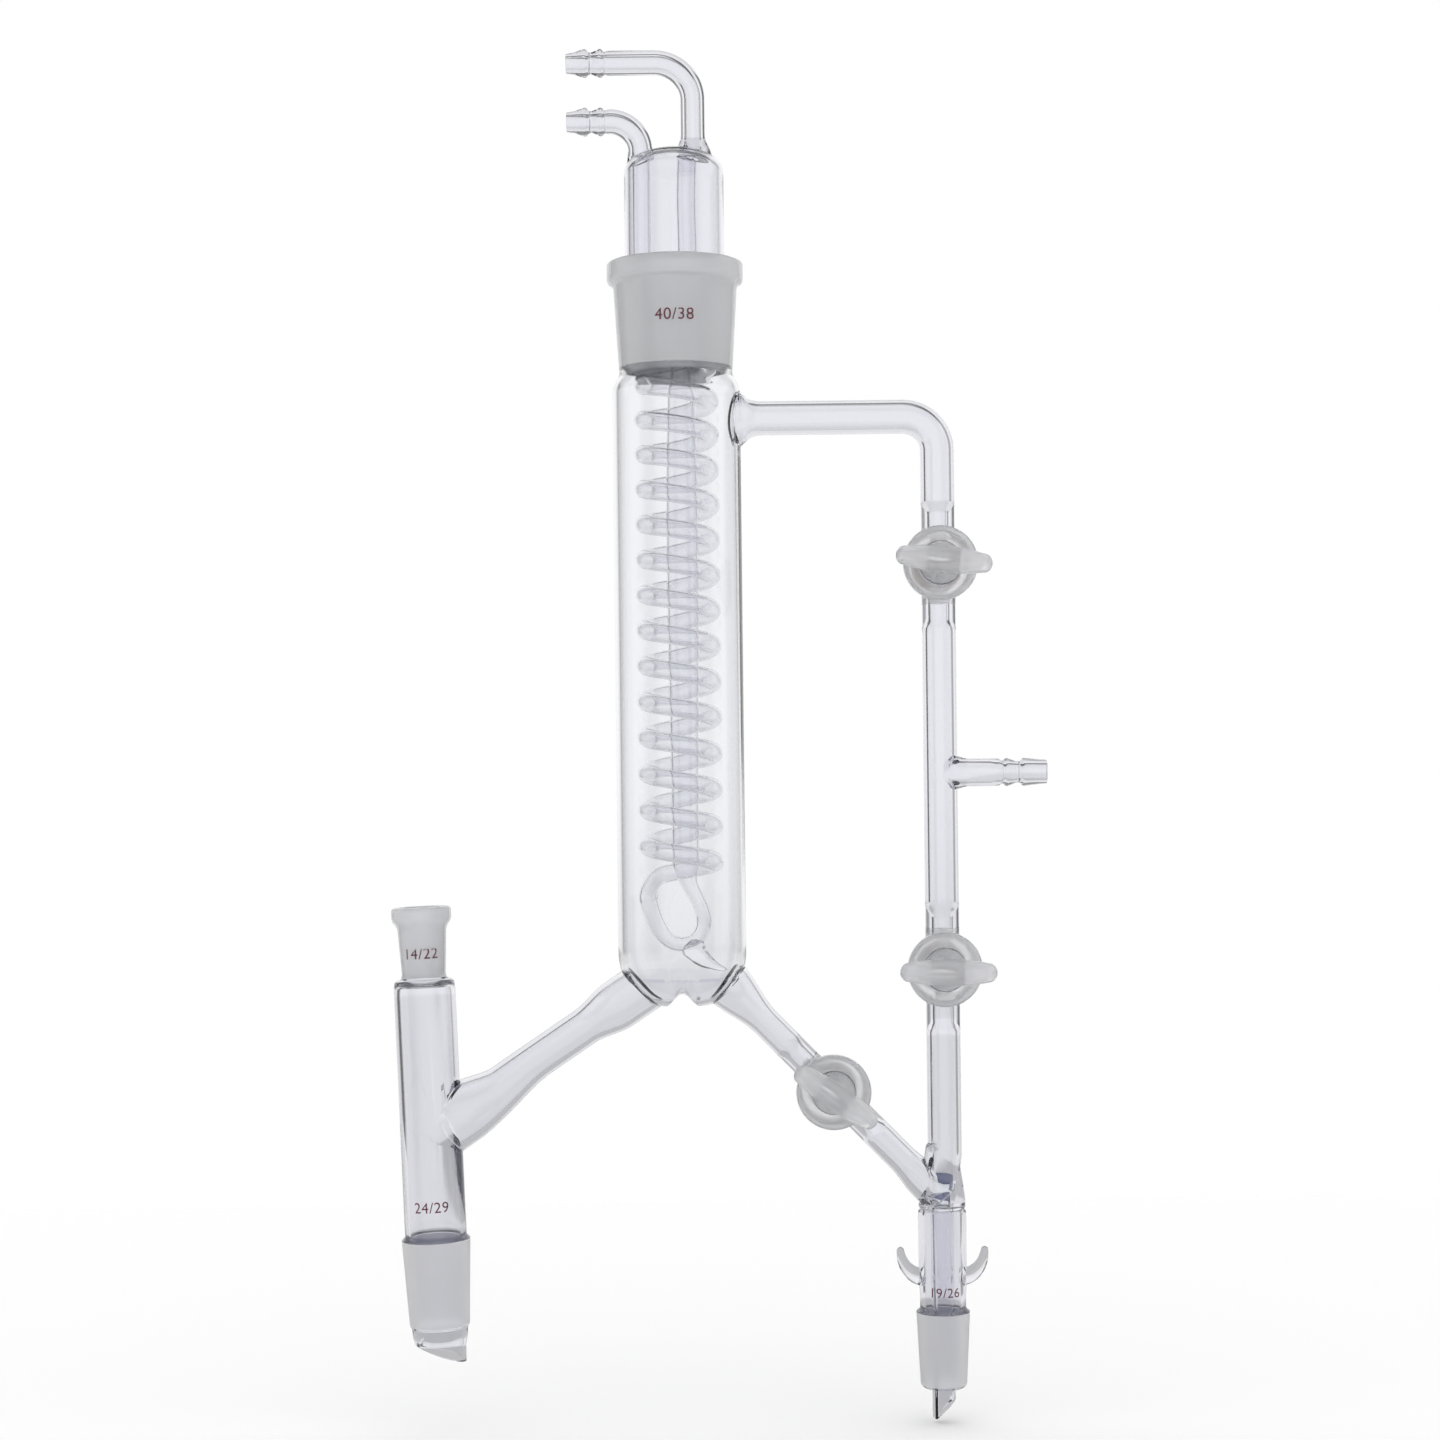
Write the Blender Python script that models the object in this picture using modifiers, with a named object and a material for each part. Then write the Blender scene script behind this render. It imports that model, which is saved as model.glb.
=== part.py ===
"""Fractionation head of clear borosilicate glass, with a coil condenser that lifts out of its top.

The glass body is one blown piece. Vapour rises in the column on the left, climbs the sloping arm and
condenses on the coil in the wide tube. The liquid runs down the branch, past the take-off stopcock, and
drips into the receiver at the lower right. The thin line on the right, with two more stopcocks and a
hose barb between them, carries the vacuum.

All sizes are in metres. X is to the right, Y is away from the viewer, Z is up. The origin is the middle
of the wide end of the column's ground cone, where the head stands in the flask or column below it.
"""

import math

import bmesh
import bpy
import numpy as np
from mathutils import Matrix, Vector

# Ground joints
TAPER = 0.1  # loss of diameter along a ground cone or socket, per unit of length
SEAT_GAP = 0.0003  # clear space on the radius between two ground faces

# Column, with the cone below and the thermometer socket on top
COLUMN_LEAN = math.radians(2.0)
COLUMN_OUTER = 0.0216
COLUMN_WALL = 0.0018
COLUMN_HEIGHT = 0.0898
COLUMN_CONE_WIDE = 0.0240
COLUMN_CONE_LENGTH = 0.0300
COLUMN_BAND = 0.0045  # thick clear band below the ground zone
COLUMN_DRIP_OUTER = 0.0177
COLUMN_DRIP_WALL = 0.0014
COLUMN_DRIP_LENGTH = 0.0096
COLUMN_DRIP_BEVEL = math.radians(19.6)
THERMOMETER_WIDE = 0.0145
THERMOMETER_LENGTH = 0.0250
THERMOMETER_WALL = 0.00165
THERMOMETER_RIM_OUTER = 0.0210
THERMOMETER_RIM_HEIGHT = 0.0074

# Wide tube round the coil, with the large socket on top
MAIN_X = 0.0878
MAIN_OUTER = 0.0450
MAIN_WALL = 0.0019
MAIN_FOOT = 0.0814
MAIN_FOOT_DEPTH = 0.0190
MAIN_SHOULDER_DEPTH = 0.0062
DIVIDER_HEIGHT = 0.0042
DIVIDER_RADIUS = 0.0070
SOCKET_TOP = 0.3422
SOCKET_WIDE = 0.0400
SOCKET_LENGTH = 0.0380
SOCKET_WALL_TOP = 0.0021
SOCKET_WALL_FOOT = 0.0015
SOCKET_RIM_OUTER = 0.0479
SOCKET_RIM_HEIGHT = 0.0067
RIM_ROUNDING = 0.0008

# Sloping arm between the column and the wide tube
ARM_OUTER = 0.0135
ARM_WALL = 0.0018
ARM_SLOPE = math.radians(33.9)
ARM_HEIGHT = 0.0376
ARM_FLARE = 0.0034
ARM_FLARE_LENGTH = 0.0170

# Thin line on the right, from the side arm down to the take-off
LINE_X = 0.1793
LINE_OUTER = 0.0119
LINE_BORE = 0.0085
SIDE_ARM_HEIGHT = 0.2875
SIDE_ARM_BEND = 0.0120
SIDE_ARM_FLARE = 0.0062

# Branch that slopes down from the wide tube to the take-off
BRANCH_OUTER = 0.0106
BRANCH_BORE = 0.0076
BRANCH_SLOPE = math.radians(45.65)
BRANCH_HEIGHT = 0.1048
BRANCH_FLARE = 0.0034
BRANCH_FLARE_LENGTH = 0.0150

# Stopcocks: barrels blown into the tubes, and tapered plugs that turn in them
VENT_HEIGHT = 0.2351
RECEIVER_HEIGHT = 0.0936
TAKEOFF_DISTANCE = 0.0523  # from the axis of the wide tube, measured sideways
VENT_TURN = math.radians(-6.5)
RECEIVER_TURN = math.radians(-1.0)
TAKEOFF_TURN = math.radians(-35.0)
BARREL_LENGTH = 0.0250
BARREL_OUTER = 0.0220
BARREL_RIM_OUTER = 0.0254
BARREL_RIM_LENGTH = 0.0050
PLUG_WIDE = 0.0148
PLUG_BORE = 0.0040
PLUG_NECK_OUTER = 0.0136
PLUG_NECK_LENGTH = 0.0110
HANDLE_SPAN = 0.0334
HANDLE_MIDDLE = 0.0095
HANDLE_END = 0.0056
GROOVE_OUTER = 0.0096
RING_OUTER = 0.0176
RING_THICKNESS = 0.0030
PLUG_END_LENGTH = 0.0036
STOPCOCK_PORT = 0.0060
PORT_LENGTH = 0.0080

# Hose barbs
BARB_NOSE = 0.0065
BARB_PITCH = 0.0055
BARB_RIDGE = 0.0100
BARB_VALLEY = 0.0075
WATER_BARB_TIP = 0.0067
WATER_TUBE_OUTER = 0.0086
WATER_BARB_BORE = 0.0040
VACUUM_HEIGHT = 0.1621
VACUUM_REACH = 0.2166
VACUUM_BARB_TIP = 0.0084
VACUUM_TUBE_OUTER = 0.0097
VACUUM_BORE = 0.0050

# Take-off: jacket with the receiver's cone round the inner drip tube
TAKEOFF_X = 0.1781
TAKEOFF_BULB_TOP = 0.0280
TAKEOFF_SEAM = 0.0089
JACKET_OUTER = 0.0169
JACKET_WALL = 0.0021
JACKET_SEAL = 0.0060
RECEIVER_CONE_WIDE = 0.0188
RECEIVER_CONE_TOP = -0.0276
RECEIVER_CONE_LENGTH = 0.0265
RECEIVER_LIP = 0.0022
DRIP_OUTER = 0.0081
DRIP_BORE = 0.0060
DRIP_END = -0.0647
DRIP_SLANT = -0.0620  # height at which the slanted end crosses the drip tube's axis
DRIP_BEVEL = math.radians(44.5)
HOOK_HEIGHT = -0.0150
HOOK_REACH = 0.0148
HOOK_RISE = 0.0105
HOOK_THICK = 0.0066
HOOK_TIP = 0.0022

# Coil condenser: cap with the large cone, the coil and its straight tube
CAP_OUTER = 0.0350
CAP_WALL = 0.0018
CAP_SHOULDER = 0.3772
CAP_RISE = 0.0062
CONE_SHOULDER = 0.0022
CONE_FOOT = 0.3030
INLET_OFFSET = -0.0116
OUTLET_OFFSET = 0.0069
INLET_HEIGHT = 0.3924
OUTLET_HEIGHT = 0.4133
HOSE_REACH = 0.0503
INLET_BEND = 0.0106
OUTLET_BEND = 0.0134
COIL_RADIUS = 0.0118
COIL_TOP = 0.3115
COIL_PITCH_TOP = 0.0120
COIL_PITCH_FOOT = 0.0130
COIL_TURNS = 15
COIL_TILT = math.radians(4.1)
COIL_TUBE_OUTER = 0.0065
COIL_TUBE_BORE = 0.0047
CENTRE_OFFSET = 0.0016
CENTRE_OUTER = 0.0096
CENTRE_NECK_OUTER = 0.0070
CENTRE_NECK_OFFSET = 0.0038
CENTRE_NECK_HEIGHT = 0.2970
GLASS_WALL = 0.0009  # wall of the blown tubes inside the condenser
LIMB_DROP = 0.0080  # from the last turn to where its limb leaves the coil
U_DEPTH = 0.0236
U_HALF_WIDTH = 0.0077
U_RISE = 0.0075  # from the foot of the U to where it leans back to the middle
U_OUTER = 0.0054
HORN_BASE = 0.0100
HORN_REACH = 0.0130
HORN_DROP = 0.0100

# Number of sides of round pieces
WIDE_SIDES = 24
TURNED_SIDES = 20
SMALL_SIDES = 16
COIL_STEPS = 10  # points along one turn of the coil
LINE_STEPS = 12  # points along the straight part of the line

OVER = 0.0030  # how far a passage runs past the end that it opens


def new_collection(name, parent):
    """Make a collection inside another one."""
    group = bpy.data.collections.new(name)
    parent.children.link(group)
    return group


def principled(name, colour, roughness, transmission=0.0):
    """Make a plain material."""
    material = bpy.data.materials.new(name)
    material.use_nodes = True
    shader = material.node_tree.nodes["Principled BSDF"]
    shader.inputs["Base Color"].default_value = (*colour, 1.0)
    shader.inputs["Roughness"].default_value = roughness
    shader.inputs["Transmission Weight"].default_value = transmission
    shader.inputs["IOR"].default_value = 1.47
    return material


def add_object(name, data, group, place=None):
    """Put new geometry in a collection; what only shapes other pieces is drawn as wire."""
    piece = bpy.data.objects.new(name, data)
    group.objects.link(piece)
    piece.matrix_world = place if place is not None else Matrix.Identity(4)
    if group.name != "fractionation_head":
        piece.hide_render = True
        piece.display_type = "WIRE"
    return piece


def turned(name, profile, sides, place, group, loop=False):
    """Turn a profile of (radius, height) points, listed from top to bottom on the outside, about Z."""
    count = len(profile)
    edges = [(i, i + 1) for i in range(count - 1)]
    if loop:
        edges.append((count - 1, 0))
    mesh = bpy.data.meshes.new(name)
    mesh.from_pydata([(radius, 0.0, height) for radius, height in profile], edges, [])
    piece = add_object(name, mesh, group, place)
    screw = piece.modifiers.new("Turn", "SCREW")
    screw.steps = sides
    screw.render_steps = sides
    screw.use_merge_vertices = True
    screw.merge_threshold = 0.00001
    return piece


def swept(name, points, radii, resolution, group):
    """Carry a round section along a run of points, with its own radius at each point."""
    curve = bpy.data.curves.new(name, "CURVE")
    curve.dimensions = "3D"
    curve.bevel_depth = 1.0
    curve.bevel_resolution = resolution
    curve.use_fill_caps = True
    spline = curve.splines.new("POLY")
    spline.points.add(len(points) - 1)
    spline.points.foreach_set("co", np.column_stack([points, np.ones(len(points))]).ravel())
    spline.points.foreach_set("radius", np.asarray(radii, dtype=float))
    guide = add_object(name + "_path", curve, group)
    mesh = bpy.data.meshes.new_from_object(guide.evaluated_get(bpy.context.evaluated_depsgraph_get()))
    bpy.data.objects.remove(guide)
    work = bmesh.new()
    work.from_mesh(mesh)
    bmesh.ops.remove_doubles(work, verts=work.verts, dist=0.000001)
    bmesh.ops.recalc_face_normals(work, faces=work.faces)
    work.to_mesh(mesh)
    work.free()
    mesh.name = name
    return add_object(name, mesh, group)


def block(name, size, place, group):
    """Make a box whose top face lies on the origin of its own frame."""
    mesh = bpy.data.meshes.new(name)
    work = bmesh.new()
    bmesh.ops.create_cube(work, size=1.0, matrix=Matrix.Translation((0.0, 0.0, -0.5)))
    bmesh.ops.scale(work, vec=size, verts=work.verts)
    work.to_mesh(mesh)
    work.free()
    return add_object(name, mesh, group, place)


def combine(piece, operation, group):
    """Join a collection of forms to a piece, or cut a collection of passages out of it."""
    step = piece.modifiers.new(operation.capitalize(), "BOOLEAN")
    step.operation = operation
    step.operand_type = "COLLECTION"
    step.collection = group
    step.solver = "EXACT"


def arc(centre, radii, start, end, count):
    """Points of an elliptical arc in a profile, from one angle to another in degrees."""
    angles = np.radians(np.linspace(start, end, count))
    return [(centre[0] + radii[0] * math.cos(a), centre[1] + radii[1] * math.sin(a)) for a in angles]


def flare(distance, length):
    """Share of a flare left at a distance from the root of a blown junction: 1 there, 0 past its length."""
    share = np.clip(1.0 - np.asarray(distance, dtype=float) / length, 0.0, 1.0)
    return share * share * (3.0 - 2.0 * share)


def hermite(start, start_way, end, end_way, count):
    """Smooth run of points between two points, leaving and arriving along given ways."""
    t = np.linspace(0.0, 1.0, count)[:, None]
    return (
        (2.0 * t**3 - 3.0 * t**2 + 1.0) * np.asarray(start)
        + (t**3 - 2.0 * t**2 + t) * np.asarray(start_way)
        + (3.0 * t**2 - 2.0 * t**3) * np.asarray(end)
        + (t**3 - t**2) * np.asarray(end_way)
    )


def bend(corner, arriving, leaving, radius, count):
    """Points of a round bend that replaces a corner between two straight runs."""
    arriving = np.asarray(arriving, dtype=float)
    leaving = np.asarray(leaving, dtype=float)
    angles = np.linspace(0.0, math.pi / 2.0, count)[:, None]
    centre = np.asarray(corner) - arriving * radius + leaving * radius
    return centre - leaving * radius * np.cos(angles) + arriving * radius * np.sin(angles)


def barb(tip, tube, nose, pitch):
    """Distances from the tip of a hose barb and the radius at each."""
    slope = 0.0018
    distances = [0.0, nose, nose + 0.3 * slope, nose + slope, nose + pitch, nose + pitch + 0.3 * slope]
    distances += [nose + pitch + slope, nose + pitch + 1.6 * slope]
    diameters = [tip, BARB_RIDGE, BARB_RIDGE, BARB_VALLEY, BARB_RIDGE, BARB_RIDGE, BARB_VALLEY, tube]
    return np.array(distances), np.array(diameters) / 2.0


for old in list(bpy.data.objects):
    bpy.data.objects.remove(old)

scene_collection = bpy.context.scene.collection
parts = new_collection("fractionation_head", scene_collection)
cutters = new_collection("cutters", scene_collection)
body_forms = new_collection("body_forms", cutters)
body_passages = new_collection("body_passages", cutters)
insert_forms = new_collection("insert_forms", cutters)
insert_bores = new_collection("insert_bores", cutters)

clear_glass = principled("clear_glass", (0.88, 0.88, 0.92), 0.03, transmission=0.9)
condenser_glass = principled("condenser_glass", (0.86, 0.87, 0.92), 0.03, transmission=0.9)
ground_glass = principled("ground_glass", (0.62, 0.63, 0.67), 0.55, transmission=0.5)
brown_rubber = principled("brown_rubber", (0.36, 0.21, 0.12), 0.7)
pale_rubber = principled("pale_rubber", (0.80, 0.81, 0.80), 0.6)

ALONG_X = Vector((1.0, 0.0, 0.0))
DOWN = Vector((0.0, 0.0, -1.0))
TO_VIEWER = Matrix.Rotation(math.pi / 2.0, 4, "X")  # turns a piece's own Z towards the viewer

# Wide tube: socket with its rim, straight wall and rounded foot with the divider pushed up in it
socket_foot = SOCKET_TOP - SOCKET_LENGTH
socket_narrow = SOCKET_WIDE - TAPER * SOCKET_LENGTH
main_place = Matrix.Translation((MAIN_X, 0.0, 0.0))


def main_profile(inset):
    """Profile of the wide tube below its socket, moved in by the inset and ending on the axis."""
    radius = MAIN_OUTER / 2.0 - inset
    foot = MAIN_FOOT + inset
    profile = arc((radius - 0.0030, socket_foot - MAIN_SHOULDER_DEPTH), (0.0030, 0.0050), 60.0, 0.0, 4)
    round_off = radius - DIVIDER_RADIUS
    profile += arc((DIVIDER_RADIUS, foot + MAIN_FOOT_DEPTH), (round_off, MAIN_FOOT_DEPTH), 0.0, -90.0, 9)
    for share in (0.75, 0.5, 0.25, 0.0):
        rise = DIVIDER_HEIGHT * (1.0 + math.cos(math.pi * share)) / 2.0
        profile.append((DIVIDER_RADIUS * share, foot + rise))
    return profile


socket_under = SOCKET_TOP - SOCKET_RIM_HEIGHT
under_radius = (SOCKET_WIDE - TAPER * SOCKET_RIM_HEIGHT) / 2.0 + SOCKET_WALL_TOP
rim_radius = SOCKET_RIM_OUTER / 2.0
outer_profile = [
    (0.0, SOCKET_TOP),
    (rim_radius - RIM_ROUNDING, SOCKET_TOP),
    (rim_radius, SOCKET_TOP - RIM_ROUNDING),
    (rim_radius, socket_under + RIM_ROUNDING),
    (rim_radius - RIM_ROUNDING, socket_under),
    (under_radius, socket_under - RIM_ROUNDING),
    (socket_narrow / 2.0 + SOCKET_WALL_FOOT, socket_foot),
]
head_body = turned("head_body", outer_profile + main_profile(0.0), WIDE_SIDES, main_place, parts)

hollow_profile = [
    (0.0, SOCKET_TOP + OVER),
    ((SOCKET_WIDE + TAPER * OVER) / 2.0, SOCKET_TOP + OVER),
    (socket_narrow / 2.0, socket_foot),
]
turned("main_hollow", hollow_profile + main_profile(MAIN_WALL), WIDE_SIDES, main_place, body_passages)

# Column: thermometer socket, tube, ground cone and bevelled drip end, all on one leaning axis
lean = Matrix.Rotation(-COLUMN_LEAN, 4, "Y")
thermometer_foot = COLUMN_HEIGHT + 0.0028
thermometer_top = thermometer_foot + THERMOMETER_LENGTH
thermometer_narrow = THERMOMETER_WIDE - TAPER * THERMOMETER_LENGTH
thermometer_under = thermometer_top - THERMOMETER_RIM_HEIGHT
thermometer_under_radius = (THERMOMETER_WIDE - TAPER * THERMOMETER_RIM_HEIGHT) / 2.0 + THERMOMETER_WALL
cone_narrow = COLUMN_CONE_WIDE - TAPER * COLUMN_CONE_LENGTH
band_foot = -COLUMN_CONE_LENGTH - COLUMN_BAND
drip_end = -COLUMN_CONE_LENGTH - 1.8 * COLUMN_DRIP_LENGTH
column_profile = [
    (0.0, thermometer_top),
    (THERMOMETER_RIM_OUTER / 2.0 - 0.0012, thermometer_top),
    (THERMOMETER_RIM_OUTER / 2.0, thermometer_top - 0.0014),
    (THERMOMETER_RIM_OUTER / 2.0, thermometer_top - 0.50 * THERMOMETER_RIM_HEIGHT),
    (thermometer_under_radius, thermometer_under),
    (thermometer_narrow / 2.0 + THERMOMETER_WALL, thermometer_foot + 0.0010),
    (COLUMN_OUTER / 2.0 - 0.0024, thermometer_foot - 0.0008),
    (COLUMN_OUTER / 2.0 - 0.0006, COLUMN_HEIGHT + 0.0006),
    (COLUMN_OUTER / 2.0, COLUMN_HEIGHT - 0.0016),
    (COLUMN_OUTER / 2.0, 0.0032),
    (COLUMN_CONE_WIDE / 2.0 - 0.0003, 0.0006),
    (COLUMN_CONE_WIDE / 2.0, 0.0),
    (cone_narrow / 2.0, -COLUMN_CONE_LENGTH),
    (cone_narrow / 2.0 - 0.0007, -COLUMN_CONE_LENGTH - 0.0010),
    (cone_narrow / 2.0 - 0.0009, band_foot),
    (COLUMN_DRIP_OUTER / 2.0, band_foot - 0.0025),
    (COLUMN_DRIP_OUTER / 2.0 - 0.0002, drip_end),
    (0.0, drip_end),
]
turned("column", column_profile, TURNED_SIDES, lean, body_forms)
column_bore = [
    (0.0, thermometer_top + OVER),
    ((THERMOMETER_WIDE + TAPER * OVER) / 2.0, thermometer_top + OVER),
    (thermometer_narrow / 2.0, thermometer_foot),
    (COLUMN_OUTER / 2.0 - COLUMN_WALL - 0.0012, COLUMN_HEIGHT - 0.0018),
    (COLUMN_OUTER / 2.0 - COLUMN_WALL, COLUMN_HEIGHT - 0.0040),
    (COLUMN_OUTER / 2.0 - COLUMN_WALL, 0.0030),
    (COLUMN_OUTER / 2.0 - COLUMN_WALL - 0.0002, -COLUMN_CONE_LENGTH + 0.0010),
    (COLUMN_DRIP_OUTER / 2.0 - COLUMN_DRIP_WALL + 0.0002, band_foot),
    (COLUMN_DRIP_OUTER / 2.0 - COLUMN_DRIP_WALL - 0.0001, drip_end - OVER),
    (0.0, drip_end - OVER),
]
turned("column_bore", column_bore, TURNED_SIDES, lean, body_passages)
bevel_point = lean @ Vector((0.0, 0.0, -COLUMN_CONE_LENGTH - COLUMN_DRIP_LENGTH))
bevel_place = Matrix.Translation(bevel_point) @ Matrix.Rotation(COLUMN_DRIP_BEVEL, 4, "Y")
bevel_width = 2.0 * COLUMN_OUTER
block("column_bevel", (bevel_width, bevel_width, bevel_width), bevel_place, body_passages)

# Sloping arm, flared where it is blown into the column and into the wide tube
arm_way = np.array([math.cos(ARM_SLOPE), 0.0, math.sin(ARM_SLOPE)])
arm_root = np.array([-ARM_HEIGHT * math.tan(COLUMN_LEAN), 0.0, ARM_HEIGHT])
arm_length = (MAIN_X - arm_root[0]) / arm_way[0]
column_skin = COLUMN_OUTER / 2.0 / arm_way[0]
main_skin = arm_length - MAIN_OUTER / 2.0 / arm_way[0]


def arm_run(first, last, count):
    """Distances along the arm from its root, closer together where it flares."""
    head = np.linspace(first, column_skin + ARM_FLARE_LENGTH, count)
    foot = np.linspace(main_skin - 0.7 * ARM_FLARE_LENGTH, last, count)
    return np.concatenate([head, foot])


def arm_radius(run, diameter):
    """Radius along the arm, with the flares at both ends added."""
    swell = flare(run - 0.3 * column_skin, ARM_FLARE_LENGTH + 0.5 * column_skin)
    swell += flare(main_skin + 0.4 * ARM_FLARE_LENGTH - run, 1.1 * ARM_FLARE_LENGTH)
    return diameter / 2.0 + ARM_FLARE * np.minimum(swell, 1.0)


run = arm_run(0.45 * column_skin, arm_length - 0.45 * MAIN_OUTER / 2.0, 6)
swept("arm", arm_root + run[:, None] * arm_way, arm_radius(run, ARM_OUTER), 4, body_forms)
run = arm_run(0.0, arm_length - 0.38 * MAIN_OUTER / 2.0, 6)
arm_bore = ARM_OUTER - 2.0 * ARM_WALL
swept("arm_bore", arm_root + run[:, None] * arm_way, arm_radius(run, arm_bore), 4, body_passages)

# Side arm and line: out of the wide tube, round the bend and down to the take-off
side_corner = np.array([LINE_X, 0.0, SIDE_ARM_HEIGHT])
side_bend = bend(side_corner, ALONG_X, DOWN, SIDE_ARM_BEND, 7)
line_foot = TAKEOFF_BULB_TOP - 0.0080
side_skin = MAIN_X + MAIN_OUTER / 2.0


def side_run(start):
    """Points of the side arm outside the wide tube; its root hangs lower, because the flare sags."""
    beyond = np.array([-0.0015, 0.0010, 0.0040, 0.0080, 0.0130])
    reach = np.append(start, side_skin + beyond)
    swell = flare(reach - side_skin + 0.0030, 0.0150)
    heights = SIDE_ARM_HEIGHT - 0.34 * SIDE_ARM_FLARE * swell
    return np.column_stack([reach, np.zeros(len(reach)), heights]), swell


side_points, side_swell = side_run(side_skin - 0.0070)
line_heights = np.linspace(SIDE_ARM_HEIGHT - SIDE_ARM_BEND, TAKEOFF_BULB_TOP, LINE_STEPS)[1:]
line_down = np.column_stack([np.full(LINE_STEPS - 1, LINE_X), np.zeros(LINE_STEPS - 1), line_heights])
line_points = np.vstack([side_points, side_bend, line_down, [[TAKEOFF_X, 0.0, line_foot]]])
line_radii = np.full(len(line_points), LINE_OUTER / 2.0)
line_radii[: len(side_swell)] += SIDE_ARM_FLARE * side_swell
swept("line", line_points, line_radii, 4, body_forms)


def ported(heights):
    """Bore of the line at each height: it necks down to the port on both sides of a stopcock."""
    radii = np.full(len(heights), LINE_BORE / 2.0)
    for cock in (VENT_HEIGHT, RECEIVER_HEIGHT):
        near = np.abs(heights - cock) <= BARREL_OUTER / 2.0 + PORT_LENGTH + 0.0001
        radii[near] = STOPCOCK_PORT / 2.0
    return radii


bore_heights = []
for cock in (VENT_HEIGHT, RECEIVER_HEIGHT):
    neck = BARREL_OUTER / 2.0 + PORT_LENGTH
    bore_heights += [cock + neck + 0.0030, cock + neck, cock - neck, cock - neck - 0.0030]
bore_heights += [TAKEOFF_BULB_TOP]
bore_heights = np.array(bore_heights)
bore_down = np.column_stack([np.full(len(bore_heights), LINE_X), np.zeros(len(bore_heights)), bore_heights])
side_points, side_swell = side_run(side_skin - 0.0120)
drip_start = TAKEOFF_SEAM + 0.2 * JACKET_SEAL
bore_end = np.array([[TAKEOFF_X, 0.0, line_foot], [TAKEOFF_X, 0.0, drip_start]])
bore_points = np.vstack([side_points, side_bend, bore_down, bore_end])
bore_radii = np.full(len(bore_points), LINE_BORE / 2.0)
bore_radii[: len(side_swell)] += SIDE_ARM_FLARE * side_swell
bore_radii[len(side_swell) + len(side_bend) : -2] = ported(bore_heights)
bore_radii[-1] = DRIP_BORE / 2.0
swept("line_bore", bore_points, bore_radii, 3, body_passages)

# Branch down to the take-off, flared at the wide tube and at the line
branch_way = np.array([math.cos(BRANCH_SLOPE), 0.0, -math.sin(BRANCH_SLOPE)])
branch_root = np.array([MAIN_X, 0.0, BRANCH_HEIGHT])
branch_length = (TAKEOFF_X - MAIN_X) / branch_way[0]
branch_skin = MAIN_OUTER / 2.0 / branch_way[0]
branch_line = branch_length - LINE_OUTER / 2.0 / branch_way[0]
takeoff_run = TAKEOFF_DISTANCE / branch_way[0]


def branch_radius(run, diameter):
    """Radius along the branch, with the flares at both ends added."""
    swell = flare(run - 0.65 * branch_skin, BRANCH_FLARE_LENGTH + 0.3 * branch_skin)
    swell += 0.6 * flare(branch_line - run, BRANCH_FLARE_LENGTH)
    return diameter / 2.0 + BRANCH_FLARE * swell


near_run = np.linspace(0.68 * branch_skin, branch_skin + BRANCH_FLARE_LENGTH, 6)
far_run = np.linspace(branch_line - BRANCH_FLARE_LENGTH, branch_line + 0.0030, 4)
run = np.concatenate([near_run, far_run])
swept("branch", branch_root + run[:, None] * branch_way, branch_radius(run, BRANCH_OUTER), 4, body_forms)
neck = BARREL_OUTER / 2.0 + PORT_LENGTH
necks = takeoff_run + np.array([-neck - 0.0030, -neck, neck, neck + 0.0030])
near_run = np.linspace(0.58 * branch_skin, branch_skin + BRANCH_FLARE_LENGTH, 6)
far_run = np.array([branch_line - 0.6 * BRANCH_FLARE_LENGTH, branch_line, branch_length])
run = np.concatenate([near_run, necks, far_run])
radii = branch_radius(run, BRANCH_BORE)
radii[len(near_run) + 1 : len(near_run) + 3] = STOPCOCK_PORT / 2.0
radii[-1] = BRANCH_BORE / 2.0
swept("branch_bore", branch_root + run[:, None] * branch_way, radii, 3, body_passages)

# Vacuum barb, straight out of the line
distances, barb_radii = barb(VACUUM_BARB_TIP, VACUUM_TUBE_OUTER, BARB_NOSE + 0.0014, BARB_PITCH + 0.0006)
reach = np.append(VACUUM_REACH - distances, [LINE_X + 0.0100, LINE_X + 0.0065, LINE_X + 0.0030])
heights = np.full(len(reach), VACUUM_HEIGHT)
barb_points = np.column_stack([reach, np.zeros(len(reach)), heights])
root_radii = VACUUM_TUBE_OUTER / 2.0 + np.array([0.0, 0.0011, 0.0013])
swept("vacuum_barb", barb_points, np.append(barb_radii, root_radii), 4, body_forms)
reach = np.array([VACUUM_REACH + OVER, VACUUM_REACH - 0.0160, VACUUM_REACH - 0.0200, LINE_X])
barb_points = np.column_stack([reach, np.zeros(4), np.full(4, VACUUM_HEIGHT)])
inside = VACUUM_TUBE_OUTER / 2.0 - 0.0015
bore_radii = [VACUUM_BORE / 2.0, VACUUM_BORE / 2.0, inside, inside]
swept("vacuum_bore", barb_points, bore_radii, 3, body_passages)

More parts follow.
